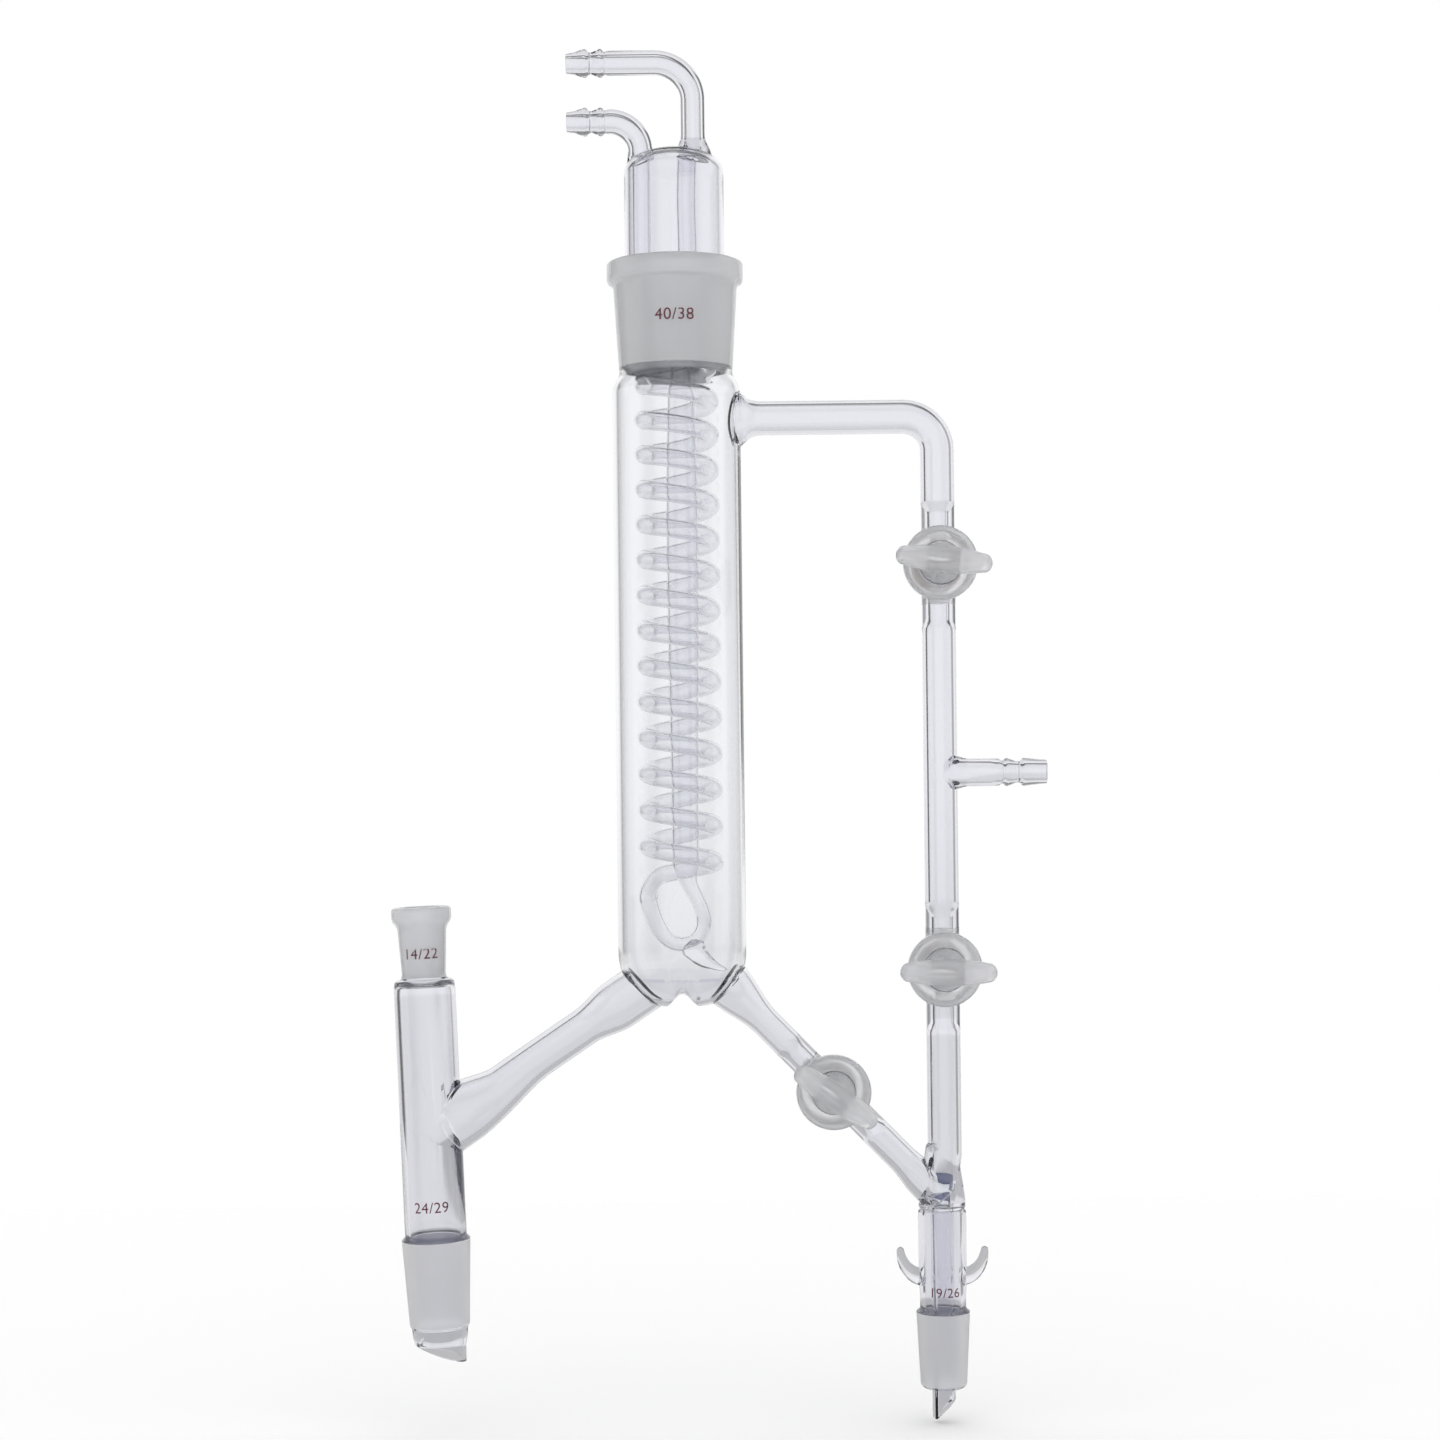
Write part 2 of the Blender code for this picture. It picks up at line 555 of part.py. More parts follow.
# Take-off: bulb, jacket and ground cone, with the drip tube sealed in at the top
takeoff_place = Matrix.Translation((TAKEOFF_X, 0.0, 0.0))
jacket_radius = JACKET_OUTER / 2.0
receiver_radius = RECEIVER_CONE_WIDE / 2.0
receiver_foot = RECEIVER_CONE_TOP - RECEIVER_CONE_LENGTH
receiver_narrow = receiver_radius - TAPER * (RECEIVER_CONE_LENGTH - RECEIVER_LIP) / 2.0
takeoff_profile = [
    (0.0, TAKEOFF_BULB_TOP + 0.0040),
    (LINE_OUTER / 2.0 - 0.0008, TAKEOFF_BULB_TOP + 0.0040),
    (LINE_OUTER / 2.0 + 0.0003, TAKEOFF_BULB_TOP - 0.0020),
    (LINE_OUTER / 2.0 + 0.0012, TAKEOFF_BULB_TOP - 0.0080),
    (jacket_radius - 0.0004, TAKEOFF_SEAM + 0.0045),
    (jacket_radius - 0.0003, TAKEOFF_SEAM + 0.0006),
    (jacket_radius - 0.0007, TAKEOFF_SEAM),
    (jacket_radius, TAKEOFF_SEAM - 0.0010),
    (jacket_radius, RECEIVER_CONE_TOP + 0.0110),
    (jacket_radius - 0.0004, RECEIVER_CONE_TOP + 0.0060),
    (jacket_radius - 0.0004, RECEIVER_CONE_TOP + 0.0034),
    (receiver_radius - 0.0002, RECEIVER_CONE_TOP + 0.0006),
    (receiver_radius, RECEIVER_CONE_TOP),
]
lip_centre = (receiver_narrow - RECEIVER_LIP, receiver_foot + RECEIVER_LIP)
takeoff_profile += arc(lip_centre, (RECEIVER_LIP, RECEIVER_LIP), 0.0, -80.0, 4)
takeoff_profile += [
    (DRIP_OUTER / 2.0, receiver_foot + 0.0004),
    (DRIP_OUTER / 2.0, DRIP_END),
    (0.0, DRIP_END),
]
turned("takeoff", takeoff_profile, TURNED_SIDES, takeoff_place, body_forms)
annulus_outer = jacket_radius - JACKET_WALL
annulus = [
    ((DRIP_OUTER / 2.0 + annulus_outer) / 2.0, TAKEOFF_SEAM - 0.0004),
    (annulus_outer, TAKEOFF_SEAM - 0.0020),
    (annulus_outer, receiver_foot + 0.0040),
    (annulus_outer - 0.0002, receiver_foot - OVER),
    (DRIP_OUTER / 2.0, receiver_foot - OVER),
    (DRIP_OUTER / 2.0, TAKEOFF_SEAM - 0.0020),
]
turned("jacket_space", annulus, TURNED_SIDES, takeoff_place, body_passages, loop=True)
drip_bore = [
    (0.0, drip_start + 0.0020),
    (DRIP_BORE / 2.0, drip_start + 0.0020),
    (DRIP_BORE / 2.0, DRIP_END - OVER),
    (0.0, DRIP_END - OVER),
]
turned("drip_bore", drip_bore, TURNED_SIDES, takeoff_place, body_passages)
bevel_width = 2.0 * (DRIP_OUTER / 2.0 / math.cos(DRIP_BEVEL) + 0.0010)
bevel_place = Matrix.Translation((TAKEOFF_X, 0.0, DRIP_SLANT)) @ Matrix.Rotation(-DRIP_BEVEL, 4, "Y")
block("drip_bevel", (bevel_width, 2.0 * DRIP_OUTER, 3.0 * DRIP_OUTER), bevel_place, body_passages)

# Hooks for springs or bands, drawn out of solid rod on both sides of the jacket
for side, name in ((-1.0, "hook_left"), (1.0, "hook_right")):
    start = (TAKEOFF_X + side * (jacket_radius - 0.0012), 0.0, HOOK_HEIGHT)
    end = (TAKEOFF_X + side * HOOK_REACH, 0.0, HOOK_HEIGHT + HOOK_RISE)
    out = (side * 0.0150, 0.0, 0.0010)
    up = (-side * 0.0010, 0.0, 0.0140)
    hook_points = hermite(start, out, end, up, 8)
    shares = np.linspace(0.0, 1.0, 8)
    hook_radii = (HOOK_THICK + (HOOK_TIP - HOOK_THICK) * shares) / 2.0
    swept(name, hook_points, hook_radii, 3, body_forms)

# Stopcock barrels and the tapered seats of their plugs
barrel_half = BARREL_LENGTH / 2.0
barrel_radius = BARREL_OUTER / 2.0
barrel_rim = BARREL_RIM_OUTER / 2.0
plug_slope = TAPER / 2.0
barrel_profile = [
    (0.0, barrel_half),
    (barrel_rim - 0.0010, barrel_half),
    (barrel_rim, barrel_half - 0.0012),
    (barrel_rim, barrel_half - BARREL_RIM_LENGTH + 0.0016),
    (barrel_radius, barrel_half - BARREL_RIM_LENGTH),
    (barrel_radius - plug_slope * 0.6 * BARREL_LENGTH, -barrel_half + 0.0030),
    (barrel_radius - plug_slope * 0.6 * BARREL_LENGTH + 0.0008, -barrel_half + 0.0012),
    (barrel_radius - plug_slope * 0.6 * BARREL_LENGTH - 0.0004, -barrel_half),
    (0.0, -barrel_half),
]
seat_front = PLUG_WIDE / 2.0 + SEAT_GAP
seat_back = seat_front - plug_slope * BARREL_LENGTH
seat_profile = [
    (0.0, barrel_half + OVER),
    (seat_front + plug_slope * OVER, barrel_half + OVER),
    (seat_back - plug_slope * OVER, -barrel_half - OVER),
    (0.0, -barrel_half - OVER),
]
takeoff_cock = branch_root + takeoff_run * branch_way
stopcocks = (
    ("vent", Vector((LINE_X, 0.0, VENT_HEIGHT)), VENT_TURN, brown_rubber),
    ("receiver", Vector((LINE_X, 0.0, RECEIVER_HEIGHT)), RECEIVER_TURN, pale_rubber),
    ("takeoff", Vector(takeoff_cock), TAKEOFF_TURN, pale_rubber),
)
for name, centre, _, _ in stopcocks:
    place = Matrix.Translation(centre) @ TO_VIEWER
    turned(name + "_barrel", barrel_profile, TURNED_SIDES, place, body_forms)
    turned(name + "_seat", seat_profile, TURNED_SIDES, place, body_passages)

combine(head_body, "UNION", body_forms)
combine(head_body, "DIFFERENCE", body_passages)
head_body.data.materials.append(clear_glass)

# Plugs: tapered, with a T-shaped handle in front, a cross bore and a groove for the retaining ring behind
groove_front = -barrel_half + 0.0004
ring_front = -barrel_half - SEAT_GAP
groove_back = ring_front - RING_THICKNESS - SEAT_GAP
plug_back = PLUG_WIDE / 2.0 - plug_slope * (barrel_half - groove_front)
end_radius = GROOVE_OUTER / 2.0 + 0.0011
plug_end = groove_back - PLUG_END_LENGTH
neck_front = barrel_half + PLUG_NECK_LENGTH
plug_profile = [
    (0.0, neck_front + HANDLE_MIDDLE * 0.45),
    (PLUG_NECK_OUTER / 2.0 * 0.62, neck_front + HANDLE_MIDDLE * 0.28),
    (PLUG_NECK_OUTER / 2.0 - 0.0010, neck_front - 0.0030),
    (PLUG_NECK_OUTER / 2.0, barrel_half + 0.0040),
    (PLUG_WIDE / 2.0, barrel_half + 0.0010),
    (PLUG_WIDE / 2.0, barrel_half),
    (plug_back, groove_front),
    (GROOVE_OUTER / 2.0, groove_front - 0.0002),
    (GROOVE_OUTER / 2.0, groove_back + 0.0002),
    (end_radius, groove_back),
    (end_radius, plug_end + 0.0012),
    (end_radius - 0.0012, plug_end),
    (0.0, plug_end),
]
handle_height = neck_front + HANDLE_MIDDLE * 0.30
handle_shares = np.array([-1.0, -0.985, -0.93, -0.80, -0.55, -0.25, 0.25, 0.55, 0.80, 0.93, 0.985, 1.0])
past_straight = np.clip((np.abs(handle_shares) - 0.86) / 0.15, 0.0, 0.995)
handle_rounding = np.sqrt(1.0 - past_straight**2)
handle_swell = HANDLE_END + (HANDLE_MIDDLE - HANDLE_END) * np.cos(handle_shares * math.pi / 2.0)
handle_radii = handle_swell / 2.0 * handle_rounding
ring_inner = GROOVE_OUTER / 2.0 + SEAT_GAP
ring_outer = RING_OUTER / 2.0
ring_back = ring_front - RING_THICKNESS
ring_profile = [
    (ring_outer - 0.0008, ring_front),
    (ring_outer, ring_front - 0.0008),
    (ring_outer, ring_back + 0.0008),
    (ring_outer - 0.0008, ring_back),
    (ring_inner, ring_back),
    (ring_inner, ring_front),
]
for name, centre, turn, ring_material in stopcocks:
    place = Matrix.Translation(centre) @ TO_VIEWER @ Matrix.Rotation(turn, 4, "Z")
    plug_forms = new_collection(name + "_plug_forms", cutters)
    plug_bores = new_collection(name + "_plug_bores", cutters)
    plug = turned(name + "_plug", plug_profile, SMALL_SIDES, place, parts)
    handle_line = np.zeros((len(handle_shares), 3))
    handle_line[:, 0] = handle_shares * HANDLE_SPAN / 2.0
    handle_line[:, 2] = handle_height
    handle = swept(name + "_handle", handle_line, handle_radii, 3, plug_forms)
    handle.matrix_world = place
    bore_line = np.zeros((2, 3))
    bore_line[:, 0] = (-PLUG_WIDE, PLUG_WIDE)
    bore = swept(name + "_plug_bore", bore_line, [PLUG_BORE / 2.0] * 2, 3, plug_bores)
    bore.matrix_world = place
    combine(plug, "UNION", plug_forms)
    combine(plug, "DIFFERENCE", plug_bores)
    plug.data.materials.append(ground_glass)
    ring = turned(name + "_plug_ring", ring_profile, SMALL_SIDES, place, parts, loop=True)
    ring.data.materials.append(ring_material)

# Condenser: shell of the cap, with the cone that sits in the large socket
cap_radius = CAP_OUTER / 2.0
cap_inside = cap_radius - CAP_WALL


def cone_radius(height):
    """Radius of the cone at a height, just inside the socket's wall."""
    return (SOCKET_WIDE - TAPER * (SOCKET_TOP - height)) / 2.0 - SEAT_GAP


cone_top = SOCKET_TOP - CONE_SHOULDER
shell_profile = [(0.0, CAP_SHOULDER + CAP_RISE)]
shell_profile += arc((0.0, CAP_SHOULDER), (cap_radius, CAP_RISE), 68.0, 0.0, 5)
shell_profile += [
    (cap_radius, cone_top + 0.0030),
    (cone_radius(cone_top), cone_top),
    (cone_radius(CONE_FOOT + 0.0010), CONE_FOOT + 0.0010),
    (cone_radius(CONE_FOOT) - 0.0008, CONE_FOOT),
    (cap_inside + 0.0004, CONE_FOOT),
    (cap_inside, CONE_FOOT + 0.0006),
]
shell_profile += arc((0.0, CAP_SHOULDER), (cap_inside, CAP_RISE - CAP_WALL), 0.0, 68.0, 4)
shell_profile += [(0.0, CAP_SHOULDER + CAP_RISE - CAP_WALL)]
condenser = turned("condenser_insert", shell_profile, WIDE_SIDES, main_place, parts)

# Water tubes outside the cap, each a barb, a level run and a bend down into the seal on the cap
seal_foot = CAP_SHOULDER + 0.0020
tubes = (
    ("inlet", INLET_OFFSET, INLET_HEIGHT, INLET_BEND, 0.0005),
    ("outlet", OUTLET_OFFSET, OUTLET_HEIGHT, OUTLET_BEND, 0.0012),
)
for name, offset, height, bend_radius, swell in tubes:
    distances, barb_radii = barb(WATER_BARB_TIP, WATER_TUBE_OUTER, BARB_NOSE, BARB_PITCH)
    level = np.zeros((len(distances), 3))
    level[:, 0] = HOSE_REACH + distances
    level[:, 2] = height
    corner = np.array([MAIN_X + offset, 0.0, height])
    round_run = bend(corner, ALONG_X, DOWN, bend_radius, 6)
    drop_heights = np.linspace(height - bend_radius, seal_foot, 6)[1:]
    drop = np.array([[MAIN_X + offset, 0.0, drop_height] for drop_height in drop_heights])
    points = np.vstack([level, round_run, drop])
    radii = np.full(len(points), WATER_TUBE_OUTER / 2.0)
    radii[: len(barb_radii)] = barb_radii
    above_seal = (drop_heights - seal_foot - CAP_RISE + 0.0020) / 0.0040
    radii[-len(drop) :] += swell * (1.0 - np.clip(above_seal, 0.0, 1.0))
    swept(name + "_tube", points, radii, 3, insert_forms)
    bore_tip = level[:1] - (OVER, 0.0, 0.0)
    points = np.vstack([bore_tip, level[-1:], round_run, drop[-1:] - (0.0, 0.0, 0.0006)])
    radii = np.full(len(points), WATER_BARB_BORE / 2.0 + 0.0003)
    radii[:2] = WATER_BARB_BORE / 2.0
    swept(name + "_bore", points, radii, 3, insert_bores)

# Coil: one tube from the inlet's seal, down the turns, round the U and up the middle to the outlet's seal
steps = np.arange(1.0, (COIL_TURNS - 0.12) * COIL_STEPS) / COIL_STEPS
angle = math.pi + 2.0 * math.pi * steps
growth = (COIL_PITCH_FOOT - COIL_PITCH_TOP) / COIL_TURNS
fall = COIL_PITCH_TOP * steps + growth * steps**2 / 2.0
coil = np.column_stack(
    [
        COIL_RADIUS * np.cos(angle),
        COIL_RADIUS * np.sin(angle),
        COIL_TOP - fall + COIL_RADIUS * np.cos(angle) * math.tan(COIL_TILT),
    ]
)
coil_foot = coil[-1][2]
inlet_seal = np.array([INLET_OFFSET, 0.0, seal_foot + 0.0012])
outlet_seal = np.array([OUTLET_OFFSET - 0.0004, 0.0, seal_foot + 0.0012])
quarter_turn = COIL_STEPS / 4.0
first_way = (coil[1] - coil[0]) * quarter_turn
last_way = (coil[-1] - coil[-2]) * quarter_turn
lead_start = (INLET_OFFSET - 0.0003, 0.0, COIL_TOP + 0.0085)
lead_in = hermite(lead_start, (0.0, 0.0, -0.0150), coil[0], first_way, 7)[:-1]
limb_top = (-COIL_RADIUS + 0.0001, 0.0, coil_foot - LIMB_DROP)
lead_out = hermite(coil[-1], last_way, limb_top, (0.0012, 0.0, -0.0080), 6)[1:]
u_foot = coil_foot - U_DEPTH
u_middle = (0.0005, 0.0, u_foot)
u_side = (U_HALF_WIDTH, 0.0, u_foot + U_RISE)
u_end = (CENTRE_OFFSET, 0.0, coil_foot + 0.0045)
limb = hermite(limb_top, (0.0020, 0.0, -0.0140), u_middle, (0.0170, 0.0, 0.0), 7)[1:]
rise = hermite(u_middle, (0.0110, 0.0, 0.0), u_side, (0.0, 0.0, 0.0110), 5)[1:]
back = hermite(u_side, (0.0, 0.0, 0.0150), u_end, (0.0, 0.0, 0.0150), 7)[1:]
centre = np.array(
    [
        [CENTRE_OFFSET, 0.0, coil_foot + 0.0100],
        [CENTRE_OFFSET, 0.0, CENTRE_NECK_HEIGHT - 0.0030],
        [CENTRE_OFFSET, 0.0, CENTRE_NECK_HEIGHT + 0.0030],
        [CENTRE_NECK_OFFSET, 0.0, CAP_SHOULDER - 0.0080],
        outlet_seal,
    ]
)
water = np.vstack([[inlet_seal], lead_in, coil, lead_out, limb, rise, back, centre])
limb_start = 1 + len(lead_in) + len(coil) + len(lead_out)
rise_start = limb_start + len(limb)
back_start = rise_start + len(rise)
centre_start = back_start + len(back)
outer = np.full(len(water), COIL_TUBE_OUTER / 2.0)
outer[limb_start:rise_start] = np.linspace(COIL_TUBE_OUTER, U_OUTER, len(limb)) / 2.0
outer[rise_start:back_start] = U_OUTER / 2.0
widening = np.linspace(0.0, 1.0, len(back) + 1)[1:] ** 3
outer[back_start:centre_start] = (U_OUTER + (CENTRE_OUTER - U_OUTER) * widening) / 2.0
outer[centre_start : centre_start + 2] = CENTRE_OUTER / 2.0
outer[centre_start + 2 :] = CENTRE_NECK_OUTER / 2.0
water += (MAIN_X, 0.0, 0.0)
swept("water_tube", water, outer, 2, insert_forms)
inner = outer - GLASS_WALL
inner[:limb_start] = COIL_TUBE_BORE / 2.0
swept("water_bore", water, inner, 1, insert_bores)

# Drip horn: solid, drawn out from the foot of the U towards the branch
horn_start = np.array([MAIN_X + 0.30 * U_HALF_WIDTH, 0.0, u_foot + 0.0006])
horn_end = horn_start + (HORN_REACH, 0.0, -HORN_DROP)
horn = hermite(horn_start, (0.0030, 0.0, -0.0110), horn_end, (0.0120, 0.0, -0.0030), 7)
horn_radii = HORN_BASE / 2.0 * np.linspace(1.0, 0.0, 7) ** 0.85 + 0.0003
horn_radii[0] *= 0.80
swept("horn", horn, horn_radii, 3, insert_forms)

combine(condenser, "UNION", insert_forms)
combine(condenser, "DIFFERENCE", insert_bores)
condenser.data.materials.append(condenser_glass)
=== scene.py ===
# %% [markdown]
# # A fractionation head in clear blown glass
#
# The head is borosilicate tubing, blown and fused into one body, with a coil condenser that drops into its
# top and three ground stopcocks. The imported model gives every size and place. This scene makes the fine
# surfaces over it: true round tubes with true walls, because glass shows both of its faces at once and
# a facet or a wrong wall bends everything seen through it.

# %% The frame
import math

import bpy
import numpy as np
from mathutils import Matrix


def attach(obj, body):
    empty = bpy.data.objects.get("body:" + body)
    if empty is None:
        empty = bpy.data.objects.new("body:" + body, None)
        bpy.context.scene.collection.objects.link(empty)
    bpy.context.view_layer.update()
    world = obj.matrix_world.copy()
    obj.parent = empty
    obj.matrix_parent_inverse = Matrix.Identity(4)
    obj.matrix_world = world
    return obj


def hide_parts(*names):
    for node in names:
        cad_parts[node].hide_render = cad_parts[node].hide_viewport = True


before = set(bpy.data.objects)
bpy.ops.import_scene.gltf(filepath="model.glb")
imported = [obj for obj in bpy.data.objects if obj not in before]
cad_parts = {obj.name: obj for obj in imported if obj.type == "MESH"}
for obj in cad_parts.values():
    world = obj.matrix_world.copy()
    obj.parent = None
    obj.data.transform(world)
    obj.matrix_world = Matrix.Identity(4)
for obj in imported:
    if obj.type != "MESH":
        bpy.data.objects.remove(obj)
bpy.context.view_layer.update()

# %% Small helpers
def put(name, data):
    """Stand a mesh, a curve or a camera in the scene as an object of its own."""
    piece = bpy.data.objects.new(name, data)
    bpy.context.scene.collection.objects.link(piece)
    return piece


def settled(piece, name):
    """A named mesh of the piece as its modifiers leave it."""
    bpy.context.view_layer.update()
    mesh = bpy.data.meshes.new_from_object(piece.evaluated_get(bpy.context.evaluated_depsgraph_get()))
    mesh.name = name
    return mesh


def places(items, key="co"):
    """The place of every vertex or face, as one array."""
    flat = np.empty(len(items) * 3)
    items.foreach_get(key, flat)
    return flat.reshape(-1, 3)


def settings(node, values):
    """Set a node's inputs by their names."""
    for name, value in values.items():
        node.inputs[name].default_value = value


def new_material(name):
    """A material with its nodes, its links and its shader."""
    material = bpy.data.materials.new(name)
    material.use_nodes = True
    nodes = material.node_tree.nodes
    return material, nodes, material.node_tree.links, nodes["Principled BSDF"]


def speckle(nodes, links, scale, detail):
    """Noise over the object's own coordinates."""
    noise = nodes.new("ShaderNodeTexNoise")
    settings(noise, {"Scale": scale, "Detail": detail})
    links.new(nodes.new("ShaderNodeTexCoord").outputs["Object"], noise.inputs["Vector"])
    return noise.outputs["Fac"]


# %% [markdown]
# ## Surfaces from rings
#
# A glass tube is a circle carried along a line. One could bevel a curve object, but then the wall's inner
# face, the flares of the blown junctions and the barbs would each need their own object. Here each surface
# is a grid: one row for each station on the line, one column for each direction round it.

# %% A closed skin over a grid of rings
def skin(name, grid, poles=None, loop=False):
    """Join neighbouring rings by quads, close the ends by fans, and face outwards by the volume's sign."""
    rings, sides, _ = grid.shape
    span = np.arange(rings if loop else rings - 1)
    row, column = np.meshgrid(span, np.arange(sides), indexing="ij")
    below = (row + 1) % rings
    beside = (column + 1) % sides
    corners = [row * sides + column, below * sides + column, below * sides + beside, row * sides + beside]
    faces = np.stack(corners, axis=-1).reshape(-1, 4).tolist()
    points = grid.reshape(-1, 3)
    if not loop:
        ends = grid[[0, -1]].mean(axis=1) if poles is None else poles
        here = np.arange(sides)
        then = (here + 1) % sides
        last = (rings - 1) * sides
        faces += np.stack([np.full(sides, len(points)), here, then], axis=-1).tolist()
        faces += np.stack([np.full(sides, len(points) + 1), last + then, last + here], axis=-1).tolist()
        points = np.concatenate([points, ends])
    first, second, third = (points[[face[k] for face in faces]] for k in range(3))
    volume = np.einsum("ij,ij->", first - points.mean(axis=0), np.cross(second - first, third - first))
    if volume < 0.0:
        faces = [face[::-1] for face in faces]
    mesh = bpy.data.meshes.new(name)
    mesh.from_pydata(points.tolist(), [], faces)
    return put(name, mesh)


# %% [markdown]
# ## Turned pieces
#
# Sockets, cones, barrels and plugs are turned: every point of a profile goes round one axis. The profile
# is a short list of corners, and each corner is rounded as a flame rounds glass.


# %% Rounded corners
def rounded(corners, size, count=5):
    """Replace each inner corner by a curve that leaves and joins its two sides at a distance of size."""
    corners = np.asarray(corners)
    before, here, after = corners[:-2], corners[1:-1], corners[2:]
    to_before = np.linalg.norm(before - here, axis=1, keepdims=True)
    to_after = np.linalg.norm(after - here, axis=1, keepdims=True)
    cut = np.minimum(size, 0.45 * np.minimum(to_before, to_after))
    start = here + (before - here) / to_before * cut
    end = here + (after - here) / to_after * cut
    t = np.linspace(0.0, 1.0, count)[None, :, None]
    curve = (1.0 - t) ** 2 * start[:, None] + 2.0 * t * (1.0 - t) * here[:, None] + t**2 * end[:, None]
    return np.concatenate([corners[:1], curve.reshape(-1, corners.shape[1]), corners[-1:]])


def arc(centre, radii, start, end, count):
    """Points of an elliptical arc from one angle to another, in degrees."""
    angle = np.radians(np.linspace(start, end, count))
    return np.column_stack([centre[0] + radii[0] * np.cos(angle), centre[1] + radii[1] * np.sin(angle)])


def turn_about_y(angle):
    """Matrix that leans a piece's own up direction from Z towards X by an angle."""
    c, s = math.cos(angle), math.sin(angle)
    return np.array([[c, 0.0, s], [0.0, 1.0, 0.0], [-s, 0.0, c]])


def turned(name, profile, origin, way=np.eye(3), sides=96, loop=False):
    """Carry each (radius, height) of the profile round the axis, then turn and move the result."""
    profile = np.asarray(profile)
    ring = profile if loop else profile[1:-1]
    angle = np.linspace(0.0, 2.0 * np.pi, sides, endpoint=False)
    radius, height = ring[:, :1], np.repeat(ring[:, 1:], sides, axis=1)
    grid = np.stack([radius * np.cos(angle), radius * np.sin(angle), height], axis=-1) @ way.T + origin
    poles = None
    if not loop:
        ends = profile[[0, -1]]
        poles = np.column_stack([[0.0, 0.0], [0.0, 0.0], ends[:, 1]]) @ way.T + origin
    return skin(name, grid, poles, loop)


# %% [markdown]
# ## Drawn tubes
#
# Arms, lines and the coil follow a bent line. Each ring has to stand square to it without a sudden twist.
# So the smallest rotation that takes one fixed direction to the line's own also turns one fixed pair of
# crossways directions, for all rings at once. It fails only where the line runs straight against the fixed
# direction, so that is a slanted one that no tube here runs against.

# %% Tubes along a line
STEADY = np.array([0.50, -0.60, -0.62]) / np.linalg.norm([0.50, -0.60, -0.62])
STEADY_SIDE = np.cross(STEADY, [0.0, 0.0, 1.0])
STEADY_SIDE /= np.linalg.norm(STEADY_SIDE)


def cubic(t, start, start_way, end, end_way):
    """Cubic curve at shares t that leaves start and arrives at end along the given ways."""
    begun = (2.0 * t**3 - 3.0 * t**2 + 1.0) * start + (t**3 - 2.0 * t**2 + t) * start_way
    return begun + (3.0 * t**2 - 2.0 * t**3) * end + (t**3 - t**2) * end_way


def step_lengths(line):
    """Length of each step from point to point."""
    return np.linalg.norm(np.diff(line[:, :3], axis=0), axis=1)


def through(knots, step, base=0.0):
    """Smooth rows through (across, height over base, radius); slopes at a knot follow its neighbours."""
    knots = flat_rows(*np.transpose(knots)) + (0.0, 0.0, base, 0.0)
    chord = step_lengths(knots)
    reach = np.append(0.0, np.cumsum(chord))
    slope = np.gradient(knots, reach, axis=0)
    run = np.linspace(0.0, reach[-1], int(reach[-1] / step) + 2)
    at = np.clip(np.searchsorted(reach, run, side="right") - 1, 0, len(chord) - 1)
    width = chord[at][:, None]
    t = (run - reach[at])[:, None] / width
    return cubic(t, knots[at], width * slope[at], knots[at + 1], width * slope[at + 1])


def tube(name, rows, sides=48):
    """Circle of each row's radius round each row's point, square to the line through the points."""
    centre, radius = rows[:, :3], rows[:, 3]
    ahead = np.gradient(centre, np.append(0.0, np.cumsum(step_lengths(rows))), axis=0)
    ahead /= np.linalg.norm(ahead, axis=1, keepdims=True)
    share = (ahead @ STEADY_SIDE) / (1.0 + ahead @ STEADY)
    side = STEADY_SIDE - share[:, None] * (STEADY + ahead)
    other = np.cross(side, ahead)
    angle = np.linspace(0.0, 2.0 * np.pi, sides, endpoint=False)[None, :, None]
    spoke = np.cos(angle) * side[:, None] + np.sin(angle) * other[:, None]
    return skin(name, centre[:, None] + radius[:, None, None] * spoke)


def flat_rows(across, height, radius):
    """Rows of a line that stays in the middle plane: X, zero, Z and radius."""
    across, height, radius = np.broadcast_arrays(across, height, radius)
    return np.column_stack([across, np.zeros(len(across)), height, radius])


def bend_rows(corner, size, radius):
    """Quarter circle from a level run to a drop, in place of the square corner between them."""
    angle = np.linspace(0.0, np.pi / 2.0, 24)
    across = corner[0] - size + size * np.sin(angle)
    return flat_rows(across, corner[1] - size + size * np.cos(angle), radius)


def flare(distance, length):
    """Share left of a blown flare: 1 at its root, 0 past its length, with level ends."""
    share = np.clip(1.0 - distance / length, 0.0, 1.0)
    return share * share * (3.0 - 2.0 * share)


# %% [markdown]
# ## Fusing
#
# The blower melts tubes together, then the inside is one hollow. The same is done here: all outer forms
# are joined, and all hollows are then cut out of them. The solver for closed meshes does this in a moment.


# %% Joining forms and cutting hollows
def fused(name, forms, hollows=()):
    """One closed solid: the forms joined, less the hollows."""
    base = forms[0]
    steps = [(form, "UNION") for form in forms[1:]] + [(hollow, "DIFFERENCE") for hollow in hollows]
    for tool, kind in steps:
        step = base.modifiers.new(kind.capitalize(), "BOOLEAN")
        step.operation = kind
        step.object = tool
        step.solver = "MANIFOLD"
    mesh = settled(base, name)
    for old in (*forms, *hollows):
        bpy.data.objects.remove(old)
    print(name, "has", len(mesh.polygons), "faces")
    return put(name, mesh)


def dress(piece, body, nodes, materials, marks=None, sharp=32.0):
    """Give a finished piece its shading, materials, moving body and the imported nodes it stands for."""
    piece.data.shade_smooth()
    piece.data.set_sharp_from_angle(angle=math.radians(sharp))
    piece.data.materials.clear()
    for material in materials:
        piece.data.materials.append(material)
    if marks is not None:
        piece.data.polygons.foreach_set("material_index", marks.astype(np.int32))
    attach(piece, body)
    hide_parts(*nodes)


